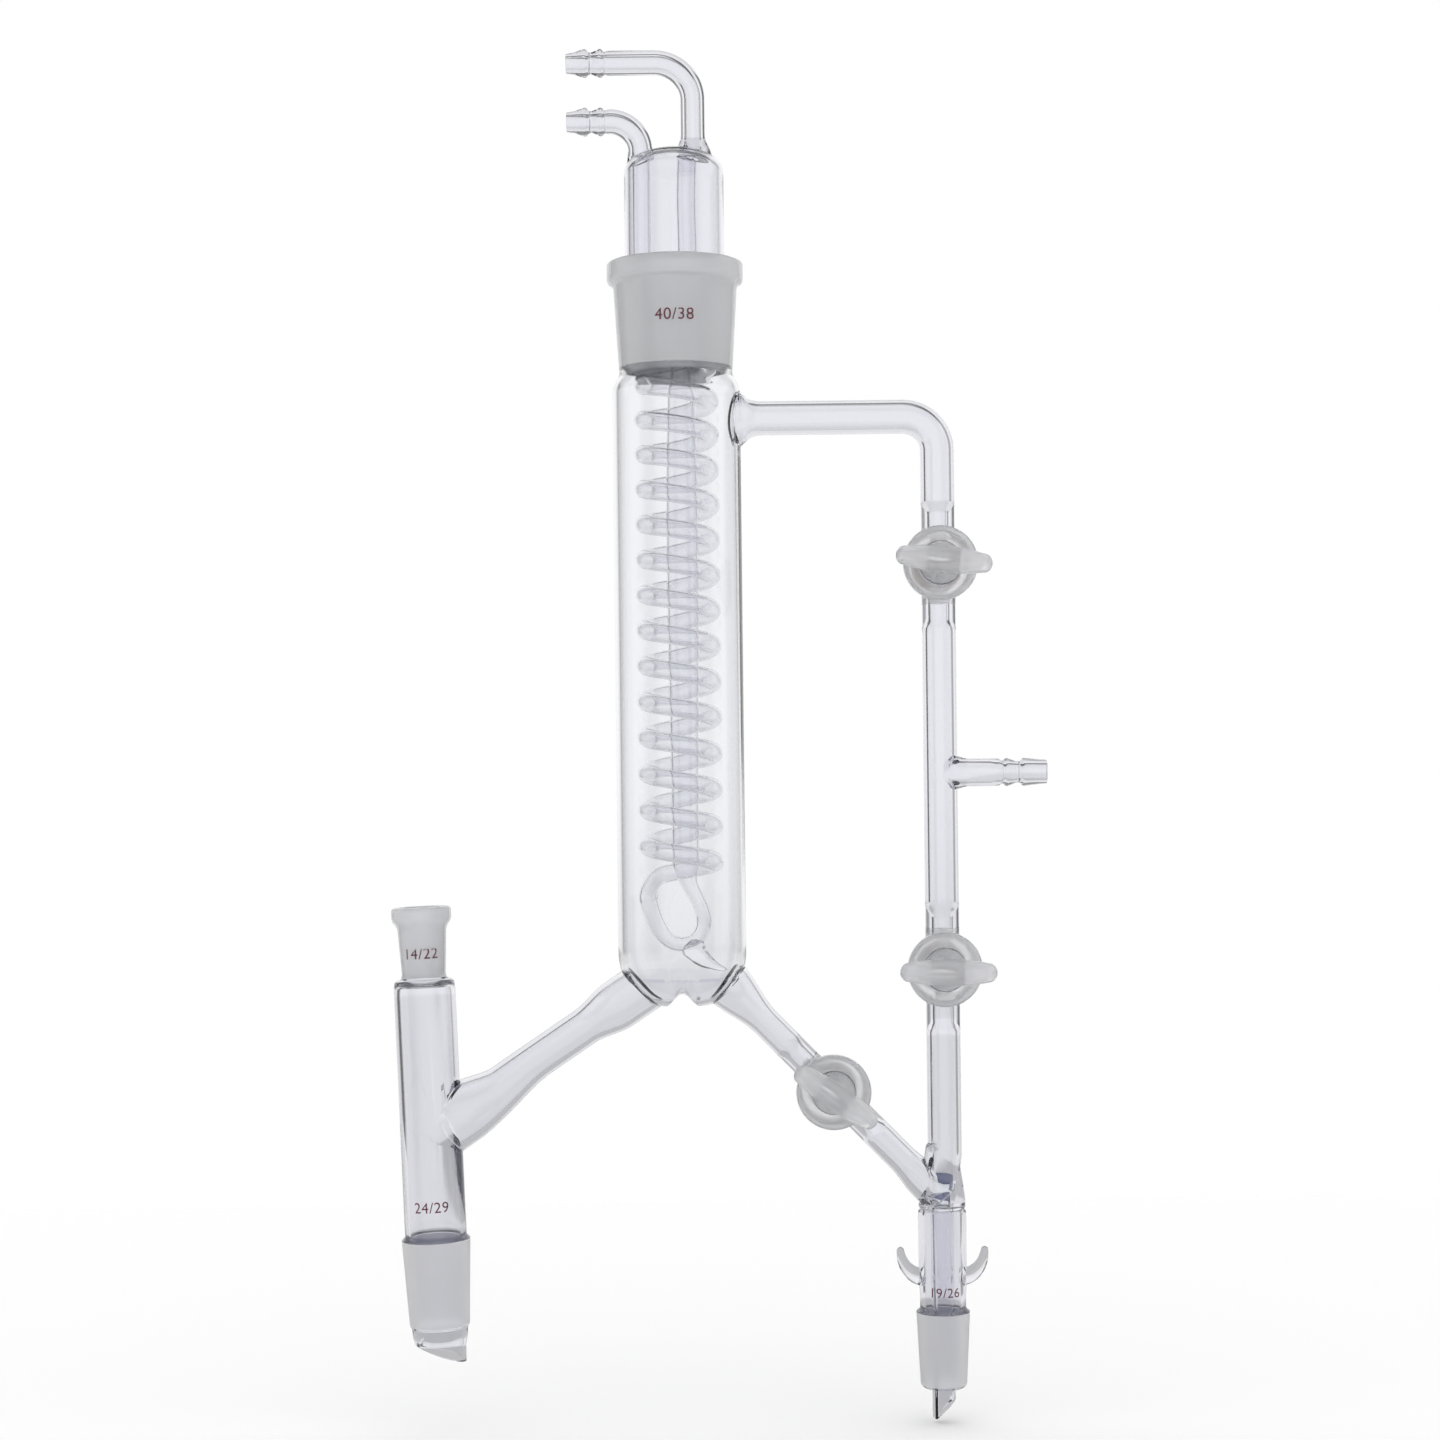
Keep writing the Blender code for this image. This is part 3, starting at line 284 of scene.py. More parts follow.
# %% [markdown]
# ## Glass
#
# Clear borosilicate bends light by 1.47 and is nearly colourless. Each face that light passes takes a
# little of it, less at the thin walls round the coil. A long way inside a wall leaves it a faint grey
# violet, which helps to draw the edges of a tube. A ground joint is the same glass roughened by grit: part
# of the light passes and is spread, and the rest comes back as white frost. Rims, barrels and handles are
# worked in the flame and lie between the two.

# %% Glass and rubber
REFRACTION = 1.47
WALL_TINT = (0.58, 0.60, 0.72, 1.0)
GRAIN_DEPTH = 0.00005


def glass(name, colour, roughness, density, grain, grain_size, passing=1.0):
    """Glass tinted by colour at its faces and by density inside; all but passing is scattered."""
    material, nodes, links, shader = new_material(name)
    settings(shader, {"Base Color": (*colour, 1.0), "Roughness": roughness})
    settings(shader, {"IOR": REFRACTION, "Transmission Weight": passing})
    inside = nodes.new("ShaderNodeVolumeAbsorption")
    settings(inside, {"Color": WALL_TINT, "Density": density})
    links.new(inside.outputs["Volume"], nodes["Material Output"].inputs["Volume"])
    bump = nodes.new("ShaderNodeBump")
    settings(bump, {"Strength": grain, "Distance": GRAIN_DEPTH})
    links.new(speckle(nodes, links, 1.0 / grain_size, 3.0), bump.inputs["Height"])
    links.new(bump.outputs["Normal"], shader.inputs["Normal"])
    return material


clear = glass("clear_glass", (0.905, 0.905, 0.935), 0.0, 14.0, 0.008, 0.012)
thin = glass("thin_glass", (0.955, 0.957, 0.970), 0.0, 14.0, 0.008, 0.012)
sealed = glass("sealed_glass", (0.90, 0.93, 0.94), 0.02, 14.0, 0.02, 0.004)
worked = glass("worked_glass", (0.972, 0.972, 0.990), 0.22, 4.0, 0.03, 0.004, 0.70)
frosted = glass("ground_glass", (0.985, 0.985, 0.998), 0.50, 8.0, 0.10, 0.0005, 0.60)
seated = glass("seated_glass", (0.975, 0.985, 1.0), 0.42, 4.0, 0.10, 0.0005, 0.45)


def rubber(name, colour, roughness):
    """Soft ring material with a fine mottle of lighter and darker spots."""
    material, nodes, links, shader = new_material(name)
    settings(shader, {"Roughness": roughness, "Subsurface Weight": 0.15, "Subsurface Scale": 0.002})
    ramp = nodes.new("ShaderNodeValToRGB")
    ramp.color_ramp.elements[0].color = (*[0.82 * part for part in colour], 1.0)
    ramp.color_ramp.elements[1].color = (*[min(1.0, 1.12 * part) for part in colour], 1.0)
    links.new(speckle(nodes, links, 900.0, 2.0), ramp.inputs["Fac"])
    links.new(ramp.outputs["Color"], shader.inputs["Base Color"])
    return material


brown = rubber("brown_rubber", (0.36, 0.21, 0.12), 0.6)
pale = rubber("pale_rubber", (0.76, 0.77, 0.76), 0.5)

# %% [markdown]
# ## Wide tube
#
# The wide tube holds the coil. Its top is a large ground socket with a thick rim, and a soft shoulder
# leads down into the tube. The foot is a round end with a small valley pushed up between the two tubes
# that leave it, which parts the condensate from the vapour's way in.

# %% Outer and inner face of the wide tube
MAIN_X = 0.0878
MAIN_RADIUS = 0.0225
MAIN_WALL = 0.0019
MAIN_FOOT = 0.0814
FOOT_DEPTH = 0.0190
FOOT_FLAT = 0.0070
NOTCH_HALF = 0.0062
NOTCH_HEIGHT = 0.0044
NOTCH_FADE = 0.0160
SOCKET_TOP = 0.3422
SOCKET_LENGTH = 0.0380
SOCKET_RADIUS = 0.0200
SOCKET_WALL = 0.0021
TAPER = 0.05
RIM_RADIUS = 0.02395
RIM_HEIGHT = 0.0067
SHOULDER_DROP = 0.0062
OVER = 0.0030

socket_foot = SOCKET_TOP - SOCKET_LENGTH
socket_narrow = SOCKET_RADIUS - TAPER * SOCKET_LENGTH
main_origin = np.array([MAIN_X, 0.0, 0.0])


def wide_foot(inset):
    """Round end: a short flat, then a quarter of an ellipse, from the wall down to the axis."""
    reach = MAIN_RADIUS - inset - FOOT_FLAT
    end = arc((FOOT_FLAT, MAIN_FOOT + inset + FOOT_DEPTH), (reach, FOOT_DEPTH), 0.0, -90.0, 28)
    share = np.linspace(1.0, 0.0, 14)[1:]
    return np.concatenate([end, np.column_stack([FOOT_FLAT * share, np.full(13, MAIN_FOOT + inset)])])


def notched(piece):
    """Raise the foot along a valley that runs from front to back: one wave of a cosine across it."""
    points = places(piece.data.vertices)
    across = np.clip(np.abs(points[:, 0] - MAIN_X) / NOTCH_HALF, 0.0, 1.0)
    fade = np.clip((MAIN_FOOT + NOTCH_FADE - points[:, 2]) / NOTCH_FADE, 0.0, 1.0)
    points[:, 2] += NOTCH_HEIGHT * (1.0 + np.cos(np.pi * across)) / 2.0 * fade
    piece.data.vertices.foreach_set("co", points.ravel())
    return piece


def shoulder(top_radius, low_radius, top, drop):
    """Soft shoulder: the radius goes from the upper to the lower one along half a cosine wave."""
    share = np.linspace(0.0, 1.0, 14)
    radius = top_radius + (low_radius - top_radius) * (1.0 - np.cos(np.pi * share)) / 2.0
    return np.column_stack([radius, top - drop * share])


rim_foot = SOCKET_TOP - RIM_HEIGHT
outer_top = rounded([
    (0.0, SOCKET_TOP),
    (RIM_RADIUS, SOCKET_TOP),
    (RIM_RADIUS, rim_foot),
    (SOCKET_RADIUS - TAPER * RIM_HEIGHT + SOCKET_WALL, rim_foot - 0.0012),
    (socket_narrow + 0.0019, socket_foot + 0.0010),
], 0.0011)
soft = shoulder(socket_narrow + 0.0018, MAIN_RADIUS, socket_foot, SHOULDER_DROP + 0.0010)
profile = np.concatenate([outer_top, soft, wide_foot(0.0)])
outer = notched(turned("wide_outer", profile, main_origin, sides=128))
inner_top = np.array([(0.0, SOCKET_TOP + OVER), (SOCKET_RADIUS + TAPER * OVER, SOCKET_TOP + OVER)])
soft = shoulder(socket_narrow, MAIN_RADIUS - MAIN_WALL, socket_foot, SHOULDER_DROP + 0.0014)
profile = np.concatenate([inner_top, soft, wide_foot(MAIN_WALL)])
inner = notched(turned("wide_inner", profile, main_origin, sides=128))
outers, bores = [outer], [inner]
print("wide tube is", round(2000 * MAIN_RADIUS, 1), "mm across")

# %% [markdown]
# ## Column
#
# The column stands in the flask on its ground cone. It leans 2 degrees, as the real one was fused. The
# cone ends in a thick clear band and a drip end cut off at a slant, so that reflux drips from one point.
# Its top narrows to the small socket for a thermometer.

# %% Column, small socket and drip end
LEAN = math.radians(-2.0)
COLUMN_RADIUS = 0.0108
COLUMN_BORE = 0.0090
COLUMN_TOP = 0.0898
CONE_RADIUS = 0.0120
CONE_LENGTH = 0.0300
BAND_LENGTH = 0.0045
DRIP_RADIUS = 0.00885
DRIP_BORE = 0.00745
DRIP_CUT = 0.0396
DRIP_SLANT = math.radians(19.6)
SMALL_RADIUS = 0.00725
SMALL_WALL = 0.00165
SMALL_LENGTH = 0.0244
SMALL_FOOT = COLUMN_TOP + 0.0028
SMALL_RIM = 0.0105

lean = turn_about_y(LEAN)
small_top = SMALL_FOOT + SMALL_LENGTH
small_narrow = SMALL_RADIUS - TAPER * SMALL_LENGTH
cone_narrow = CONE_RADIUS - TAPER * CONE_LENGTH
band_foot = -CONE_LENGTH - BAND_LENGTH
drip_end = -CONE_LENGTH - 1.8 * 0.0096
column_outer = rounded([
    (0.0, small_top),
    (SMALL_RIM, small_top),
    (SMALL_RIM, small_top - 0.0046),
    (SMALL_RADIUS - TAPER * 0.0070 + SMALL_WALL, small_top - 0.0070),
    (small_narrow + SMALL_WALL, SMALL_FOOT + 0.0010),
    (small_narrow + 0.0020, SMALL_FOOT - 0.0008),
    (COLUMN_RADIUS - 0.0004, SMALL_FOOT - 0.0013),
    (COLUMN_RADIUS, COLUMN_TOP - 0.0016),
    (COLUMN_RADIUS, 0.0014),
    (CONE_RADIUS, 0.0003),
    (CONE_RADIUS, 0.0),
    (cone_narrow, -CONE_LENGTH),
    (cone_narrow - 0.0007, -CONE_LENGTH - 0.0010),
    (cone_narrow - 0.0009, band_foot),
    (DRIP_RADIUS, band_foot - 0.0025),
    (DRIP_RADIUS - 0.0002, drip_end),
    (0.0, drip_end),
], 0.0014)
column_bore = rounded([
    (0.0, small_top + OVER),
    (SMALL_RADIUS + TAPER * OVER, small_top + OVER),
    (small_narrow, SMALL_FOOT),
    (small_narrow + 0.0008, COLUMN_TOP + 0.0002),
    (COLUMN_BORE - 0.0004, COLUMN_TOP - 0.0004),
    (COLUMN_BORE, COLUMN_TOP - 0.0030),
    (COLUMN_BORE, 0.0030),
    (COLUMN_BORE - 0.0002, -CONE_LENGTH + 0.0010),
    (DRIP_BORE + 0.0002, band_foot),
    (DRIP_BORE - 0.0001, drip_end - OVER),
    (0.0, drip_end - OVER),
], 0.0020)
outers.append(turned("column_outer", column_outer, np.zeros(3), lean, 96))
bores.append(turned("column_bore", column_bore, np.zeros(3), lean, 96))


SQUARE = np.array([[-1.0, -1.0], [1.0, -1.0], [1.0, 1.0], [-1.0, 1.0]])


def slanted_block(name, point, tilt, half_width, depth):
    """Closed block below a slanted plane through a point, which cuts a tube's end off."""
    rings = np.array([np.insert(SQUARE * half_width, 2, level, axis=1) for level in (0.0, -depth)])
    return skin(name, rings @ turn_about_y(tilt).T + point)


cut_point = lean @ np.array([0.0, 0.0, -DRIP_CUT])
cut_size = (2.0 * COLUMN_RADIUS, 4.0 * COLUMN_RADIUS)
bores.append(slanted_block("column_cut", cut_point, DRIP_SLANT, *cut_size))
print("column leans", round(math.degrees(-LEAN), 1), "degrees")

# %% [markdown]
# ## Sloping arm and branch
#
# Both are straight tubes that open out where they are blown into a wider tube. A flare is one formula: a
# smooth step from nothing at its far end to all of it at the root. The sloping arm opens more below than
# above, so its two sides have flares of their own.

# %% Sloping arm
ARM_RADIUS = 0.00675
ARM_WALL = 0.0018
ARM_SLOPE = math.radians(33.9)
ARM_HEIGHT = 0.0376
COLUMN_RISE = 0.0038
COLUMN_SAG = 0.0050
MAIN_RISE = 0.0021
MAIN_SAG = 0.0026
MAIN_LENGTH = 0.0150
RISE_LENGTH = 0.0190
SAG_LENGTH = 0.0340

arm_way = np.array([math.cos(ARM_SLOPE), math.sin(ARM_SLOPE)])
arm_up = np.array([-arm_way[1], arm_way[0]])
arm_root = np.array([ARM_HEIGHT * math.tan(LEAN), ARM_HEIGHT])
arm_length = (MAIN_X - arm_root[0]) / arm_way[0]
column_skin = COLUMN_RADIUS / arm_way[0]
main_skin = arm_length - MAIN_RADIUS / arm_way[0]


def arm_rows(first, last, radius):
    """Rows along the arm: each side opens by its own flare, and the middle lies halfway between them."""
    run = np.linspace(first, last, 110)
    at_main = flare(main_skin - run, MAIN_LENGTH)
    rise = COLUMN_RISE * flare(run - 0.92 * column_skin, RISE_LENGTH) + MAIN_RISE * at_main
    sag = COLUMN_SAG * flare(run - column_skin, SAG_LENGTH) + MAIN_SAG * at_main
    line = arm_root + run[:, None] * arm_way + (rise - sag)[:, None] / 2.0 * arm_up
    return flat_rows(line[:, 0], line[:, 1], radius + (rise + sag) / 2.0)


arm_end = arm_length - 0.45 * MAIN_RADIUS
outers.append(tube("arm_outer", arm_rows(0.45 * column_skin, arm_end, ARM_RADIUS), 64))
bores.append(tube("arm_bore", arm_rows(0.0, arm_end + 0.0016, ARM_RADIUS - ARM_WALL), 64))
print("arm is", round(1000 * arm_length), "mm long")

# %% Branch to the take-off
TAKEOFF_X = 0.1781
LINE_X = 0.1793
LINE_RADIUS = 0.00595
LINE_BORE = 0.00425
PORT_RADIUS = 0.0030
BRANCH_RADIUS = 0.0053
BRANCH_BORE = 0.0038
BRANCH_SLOPE = math.radians(45.65)
BRANCH_HEIGHT = 0.1048
BRANCH_FLARE = 0.0034
BRANCH_EASE = 0.0110
BARREL_RADIUS = 0.0110
PORT_LENGTH = 0.0080
PORT_EASE = 0.0030
TAKEOFF_ACROSS = 0.0523

branch_way = np.array([math.cos(BRANCH_SLOPE), -math.sin(BRANCH_SLOPE)])
branch_root = np.array([MAIN_X, BRANCH_HEIGHT])
branch_length = (TAKEOFF_X - MAIN_X) / branch_way[0]
branch_skin = MAIN_RADIUS / branch_way[0]
branch_line = branch_length - LINE_RADIUS / branch_way[0]
takeoff_run = TAKEOFF_ACROSS / branch_way[0]
neck = BARREL_RADIUS + PORT_LENGTH


def necked(run, centres, radius):
    """Bore that narrows to the port on both sides of each stopcock."""
    near = np.min(np.abs(run[:, None] - centres), axis=1)
    share = np.clip((near - neck) / PORT_EASE, 0.0, 1.0)
    return PORT_RADIUS + (radius - PORT_RADIUS) * share * share * (3.0 - 2.0 * share)


def branch_rows(first, last, radius, narrow=False):
    """Rows along the branch, flared at the wide tube and a little at the line."""
    run = np.linspace(first, last, 90)
    swell = flare(run - 0.65 * branch_skin, BRANCH_EASE + 0.3 * branch_skin)
    swell += 0.35 * flare(branch_line - run, BRANCH_EASE)
    size = radius + BRANCH_FLARE * swell
    if narrow:
        size = necked(run, [takeoff_run], size)
    line = branch_root + run[:, None] * branch_way
    return flat_rows(line[:, 0], line[:, 1], size)


rows = branch_rows(0.68 * branch_skin, branch_line + 0.0030, BRANCH_RADIUS)
outers.append(tube("branch_outer", rows, 56))
rows = branch_rows(0.58 * branch_skin, branch_length, BRANCH_BORE, True)
bores.append(tube("branch_bore", rows, 56))
print("branch is", round(1000 * branch_length), "mm long")

# %% [markdown]
# ## Thin line
#
# The side arm leaves the wide tube level, bends down, and becomes the line that carries the vacuum and
# lets air in. Its root opens late and steeply, as a power of the distance.

# %% Side arm and line
SIDE_HEIGHT = 0.2875
SIDE_BEND = 0.0120
SIDE_FLARE = 0.0042
SIDE_LENGTH = 0.0080
SIDE_POWER = 2.4
VENT_HEIGHT = 0.2351
RECEIVER_HEIGHT = 0.0936
BULB_TOP = 0.0280
SEAM = 0.0089

side_skin = MAIN_X + MAIN_RADIUS
line_foot = BULB_TOP - 0.0080


def line_rows(start, radius, end_rows, narrow=False):
    """Rows of the side arm, its bend and the line, down to the rows of its foot."""
    across = np.linspace(start, LINE_X - SIDE_BEND - 0.0010, 40)
    swell = np.clip(1.0 - (across - side_skin + 0.0005) / SIDE_LENGTH, 0.0, 1.0) ** SIDE_POWER
    level = flat_rows(across, SIDE_HEIGHT - 0.05 * SIDE_FLARE * swell, radius + SIDE_FLARE * swell)
    curve = bend_rows((LINE_X, SIDE_HEIGHT), SIDE_BEND, radius)
    height = np.linspace(SIDE_HEIGHT - SIDE_BEND - 0.0010, BULB_TOP, 150)
    size = necked(height, [VENT_HEIGHT, RECEIVER_HEIGHT], radius) if narrow else radius
    return np.concatenate([level, curve, flat_rows(LINE_X, height, size), end_rows])


foot_rows = flat_rows(TAKEOFF_X, [line_foot], LINE_RADIUS)
outers.append(tube("line_outer", line_rows(side_skin - 0.0070, LINE_RADIUS, foot_rows), 64))
foot_rows = flat_rows(TAKEOFF_X, [line_foot, SEAM + 0.0012], [LINE_BORE, PORT_RADIUS])
bores.append(tube("line_bore", line_rows(side_skin - 0.0120, LINE_BORE, foot_rows, True), 64))
print("line is", round(2000 * LINE_RADIUS, 1), "mm across")

# %% [markdown]
# ## Barbs
#
# A hose barb is rolled into the end of a tube while it turns in the flame: two sharp ridges that lean
# back, with a soft hollow between them. Each is a short run of stations with its own radius. Stations
# that fall on each other are dropped, so that every ring has a direction.

# %% Barb profile and the vacuum barb
SAME_STATION = 0.00001
RIDGE_RADIUS = 0.0050
VALLEY_RADIUS = 0.00375
VACUUM_HEIGHT = 0.1621
VACUUM_REACH = 0.2166
VACUUM_TIP = 0.0042
VACUUM_RADIUS = 0.00485
VACUUM_BORE = 0.0025


def barb_profile(tip, tube_radius, nose, pitch):
    """Distance from the tip and radius: nose cone, ridge, hollow, second ridge, hollow, plain tube."""
    profile = rounded([
        (0.0, tip - 0.0007),
        (0.0, tip),
        (0.35 * nose, tip + 0.22 * (RIDGE_RADIUS - tip)),
        (nose, RIDGE_RADIUS),
        (nose + 0.0006, RIDGE_RADIUS - 0.0002),
        (nose + 0.0015, VALLEY_RADIUS + 0.0001),
        (nose + 0.45 * pitch, VALLEY_RADIUS),
        (nose + pitch, RIDGE_RADIUS),
        (nose + pitch + 0.0006, RIDGE_RADIUS - 0.0002),
        (nose + pitch + 0.0015, VALLEY_RADIUS + 0.0001),
        (nose + pitch + 0.0029, tube_radius),
    ], 0.0006)
    return profile[np.append(True, np.diff(profile[:, 0]) > SAME_STATION)]


barb = barb_profile(VACUUM_TIP, VACUUM_RADIUS, 0.0079, 0.0061)
across = np.linspace(VACUUM_REACH - barb[-1, 0] - 0.0010, LINE_X + 0.0020, 24)
swell = 0.0014 * flare(across - LINE_X - 0.0040, 0.0060)
vacuum = np.concatenate([
    flat_rows(VACUUM_REACH - barb[:, 0], VACUUM_HEIGHT, barb[:, 1]),
    flat_rows(across, VACUUM_HEIGHT, VACUUM_RADIUS + swell),
])
outers.append(tube("vacuum_outer", vacuum, 56))
across = np.append(VACUUM_REACH + np.array([OVER, -0.0150, -0.0185, -0.0200]), LINE_X)
sizes = [VACUUM_BORE, VACUUM_BORE, VACUUM_BORE + 0.0007, VACUUM_RADIUS - 0.0015, VACUUM_RADIUS - 0.0015]
bores.append(tube("vacuum_bore", flat_rows(across, VACUUM_HEIGHT, sizes), 48))
print("vacuum barb reaches to", round(1000 * VACUUM_REACH, 1), "mm")

# %% [markdown]
# ## Take-off
#
# At the foot of the line the drip tube is ring sealed inside a jacket: the wall doubles back on itself in
# a thick bead of glass. The jacket carries the ground cone for the receiver and two hooks for springs.

# %% Take-off jacket, cone and drip tube
JACKET_RADIUS = 0.00845
JACKET_WALL = 0.0021
RECEIVER_RADIUS = 0.0094
RECEIVER_TOP = -0.0276
RECEIVER_LENGTH = 0.0265
RECEIVER_LIP = 0.0022
DROP_RADIUS = 0.00405
DROP_BORE = 0.0030
DROP_END = -0.0647
DROP_CUT = -0.0620
DROP_SLANT = math.radians(-44.5)

takeoff_origin = np.array([TAKEOFF_X, 0.0, 0.0])
receiver_foot = RECEIVER_TOP - RECEIVER_LENGTH
receiver_narrow = RECEIVER_RADIUS - TAPER * (RECEIVER_LENGTH - RECEIVER_LIP)
takeoff_top = rounded([
    (0.0, BULB_TOP + 0.0040),
    (LINE_RADIUS - 0.0006, BULB_TOP + 0.0040),
    (LINE_RADIUS + 0.0003, BULB_TOP - 0.0020),
    (LINE_RADIUS + 0.0012, BULB_TOP - 0.0080),
    (JACKET_RADIUS - 0.0003, SEAM + 0.0045),
    (JACKET_RADIUS - 0.0002, SEAM + 0.0007),
    (JACKET_RADIUS - 0.0007, SEAM),
    (JACKET_RADIUS, SEAM - 0.0009),
    (JACKET_RADIUS, RECEIVER_TOP + 0.0110),
    (JACKET_RADIUS - 0.0004, RECEIVER_TOP + 0.0060),
    (JACKET_RADIUS - 0.0004, RECEIVER_TOP + 0.0015),
    (RECEIVER_RADIUS, RECEIVER_TOP + 0.0005),
    (RECEIVER_RADIUS, RECEIVER_TOP),
    (receiver_narrow, receiver_foot + 1.05 * RECEIVER_LIP),
], 0.0016)
lip_centre = (receiver_narrow - RECEIVER_LIP, receiver_foot + RECEIVER_LIP)
lip = arc(lip_centre, (RECEIVER_LIP, RECEIVER_LIP), 0.0, -80.0, 14)
drop = np.array([(DROP_RADIUS, receiver_foot + 0.0004), (DROP_RADIUS, DROP_END), (0.0, DROP_END)])
takeoff = np.concatenate([takeoff_top, lip, drop])
outers.append(turned("takeoff_outer", takeoff, takeoff_origin, sides=80))
jacket_inside = JACKET_RADIUS - JACKET_WALL
middle_radius = (DROP_RADIUS + jacket_inside) / 2.0
half_gap = (jacket_inside - DROP_RADIUS) / 2.0
ring_top = arc((middle_radius, SEAM - 0.0020), (half_gap, 0.0016), 180.0, 0.0, 15)
ring_foot = [
    (jacket_inside, receiver_foot + 0.0040),
    (jacket_inside - 0.0002, receiver_foot - OVER),
    (DROP_RADIUS, receiver_foot - OVER),
]
jacket_space = np.concatenate([ring_top, ring_foot])
bores.append(turned("jacket_space", jacket_space, takeoff_origin, sides=80, loop=True))
drop_bore = [
    (0.0, SEAM + 0.0032),
    (DROP_BORE, SEAM + 0.0032),
    (DROP_BORE, DROP_END - OVER),
    (0.0, DROP_END - OVER),
]
bores.append(turned("drop_bore", drop_bore, takeoff_origin, sides=64))
cut_point = np.array([TAKEOFF_X, 0.0, DROP_CUT])
half_width = DROP_RADIUS / math.cos(DROP_SLANT) + 0.0010
bores.append(slanted_block("drop_cut", cut_point, DROP_SLANT, half_width, 0.0240))
print("drip tube ends at", round(1000 * DROP_END, 1), "mm")

# %% Spring hooks
HOOK_HEIGHT = -0.0150
HOOK_REACH = 0.0148
HOOK_RISE = 0.0105
HOOK_RADIUS = 0.0033
HOOK_TIP = 0.0011


def hook_rows(side):
    """Horn that leaves the jacket level and curls up: a cubic from root to tip that thins evenly."""
    t = np.linspace(0.0, 1.0, 28)
    root, tip = JACKET_RADIUS - 0.0012, HOOK_REACH
    across = cubic(t, root, 0.0150, tip, -0.0010)
    height = HOOK_HEIGHT + cubic(t, 0.0, 0.0010, HOOK_RISE, 0.0140)
    radius = HOOK_RADIUS + (HOOK_TIP - HOOK_RADIUS) * t
    round_off = np.sqrt(1.0 - np.clip((t - 0.93) / 0.072, 0.0, 1.0) ** 2)
    return flat_rows(TAKEOFF_X + side * across, height, radius * round_off)


outers += [tube("hook_left", hook_rows(-1.0), 32), tube("hook_right", hook_rows(1.0), 32)]

# %% [markdown]
# ## Stopcock barrels
#
# Each barrel lies across its tube, with its wide end and rim towards the viewer. The seat inside is
# ground to a taper, and the plug is ground to match, so the pair looks frosted where they meet.

# %% Barrels and seats
BARREL_HALF = 0.0125
BARREL_RIM = 0.0131
RIM_LENGTH = 0.0050
PLUG_WIDE = 0.0074
SEAT_GAP = 0.0003
ON_FACE = 0.00012

to_viewer = np.array([[1.0, 0.0, 0.0], [0.0, 0.0, -1.0], [0.0, 1.0, 0.0]])
takeoff_centre = np.insert(branch_root + takeoff_run * branch_way, 1, 0.0)
stopcocks = {
    "vent": (np.array([LINE_X, 0.0, VENT_HEIGHT]), math.radians(-6.5), brown, "brown_rubber"),
    "receiver": (np.array([LINE_X, 0.0, RECEIVER_HEIGHT]), math.radians(-1.0), pale, "pale_rubber"),
    "takeoff": (takeoff_centre, math.radians(-35.0), pale, "pale_rubber"),
}
back_radius = BARREL_RADIUS - TAPER * 0.6 * 2.0 * BARREL_HALF
barrel = rounded([
    (0.0, BARREL_HALF),
    (BARREL_RIM - 0.0002, BARREL_HALF),
    (BARREL_RIM, BARREL_HALF - 0.0012),
    (BARREL_RIM, BARREL_HALF - RIM_LENGTH + 0.0016),
    (BARREL_RADIUS, BARREL_HALF - RIM_LENGTH),
    (back_radius, -BARREL_HALF + 0.0030),
    (back_radius + 0.0008, -BARREL_HALF + 0.0012),
    (back_radius - 0.0002, -BARREL_HALF),
    (0.0, -BARREL_HALF),
], 0.0010)
seat = [
    (0.0, BARREL_HALF + OVER),
    (PLUG_WIDE + SEAT_GAP + TAPER * OVER, BARREL_HALF + OVER),
    (PLUG_WIDE + SEAT_GAP - TAPER * (2.0 * BARREL_HALF + OVER), -BARREL_HALF - OVER),
    (0.0, -BARREL_HALF - OVER),
]
for name, (centre, _, _, _) in stopcocks.items():
    outers.append(turned(name + "_barrel", barrel, centre, to_viewer, 80))
    bores.append(turned(name + "_seat", seat, centre, to_viewer, 80))
print("stopcocks at", [np.round(1000 * entry[0], 1).tolist() for entry in stopcocks.values()])

# %% [markdown]
# ## The whole body
#
# With every form and hollow ready, the body is fused, and each face is given its kind of glass by where it
# lies: ground on the cones' outsides, and inside the sockets and the stopcock seats.

# %% Fuse the body and mark its kinds of glass
GROUND_FOOT = 0.3062
GROUND, WORKED, SEALED, SEATED, THIN = range(1, 6)

body = fused("glass_body", outers, bores)
middle = places(body.data.polygons, "center")
across, depth, height = middle.T
column_across, column_depth, along = (middle @ lean).T
column_radius = np.hypot(column_across, column_depth)
main_radius = np.hypot(across - MAIN_X, depth)
takeoff_radius = np.hypot(across - TAKEOFF_X, depth)
on_cone = (along < 0.0001) & (along > -CONE_LENGTH) & (column_radius < 0.0125)
ground = on_cone & (column_radius > COLUMN_BORE + 0.0008)
on_small = (along > SMALL_FOOT - 0.0002) & (column_radius < 0.0120)
ground |= on_small & (column_radius < SMALL_RADIUS + 0.0003) & (along < small_top - 0.0001)
ground |= (main_radius < SOCKET_RADIUS + 0.0002) & (height > GROUND_FOOT) & (height < SOCKET_TOP - 0.0001)
cone = (height < RECEIVER_TOP + 0.0002) & (height > receiver_foot + 0.5 * RECEIVER_LIP)
ground |= (takeoff_radius > jacket_inside + 0.0008) & (takeoff_radius < 0.0100) & cone
marks = np.where(ground, GROUND, 0)
marks[~ground & (height > GROUND_FOOT - 0.0010)] = WORKED
marks[~ground & on_small] = WORKED
marks[ground & (height > 0.0)] = SEATED
upright = (height > MAIN_FOOT + 0.0100) & (height < GROUND_FOOT - 0.0010)
marks[upright & (main_radius < MAIN_RADIUS + 0.0004)] = THIN
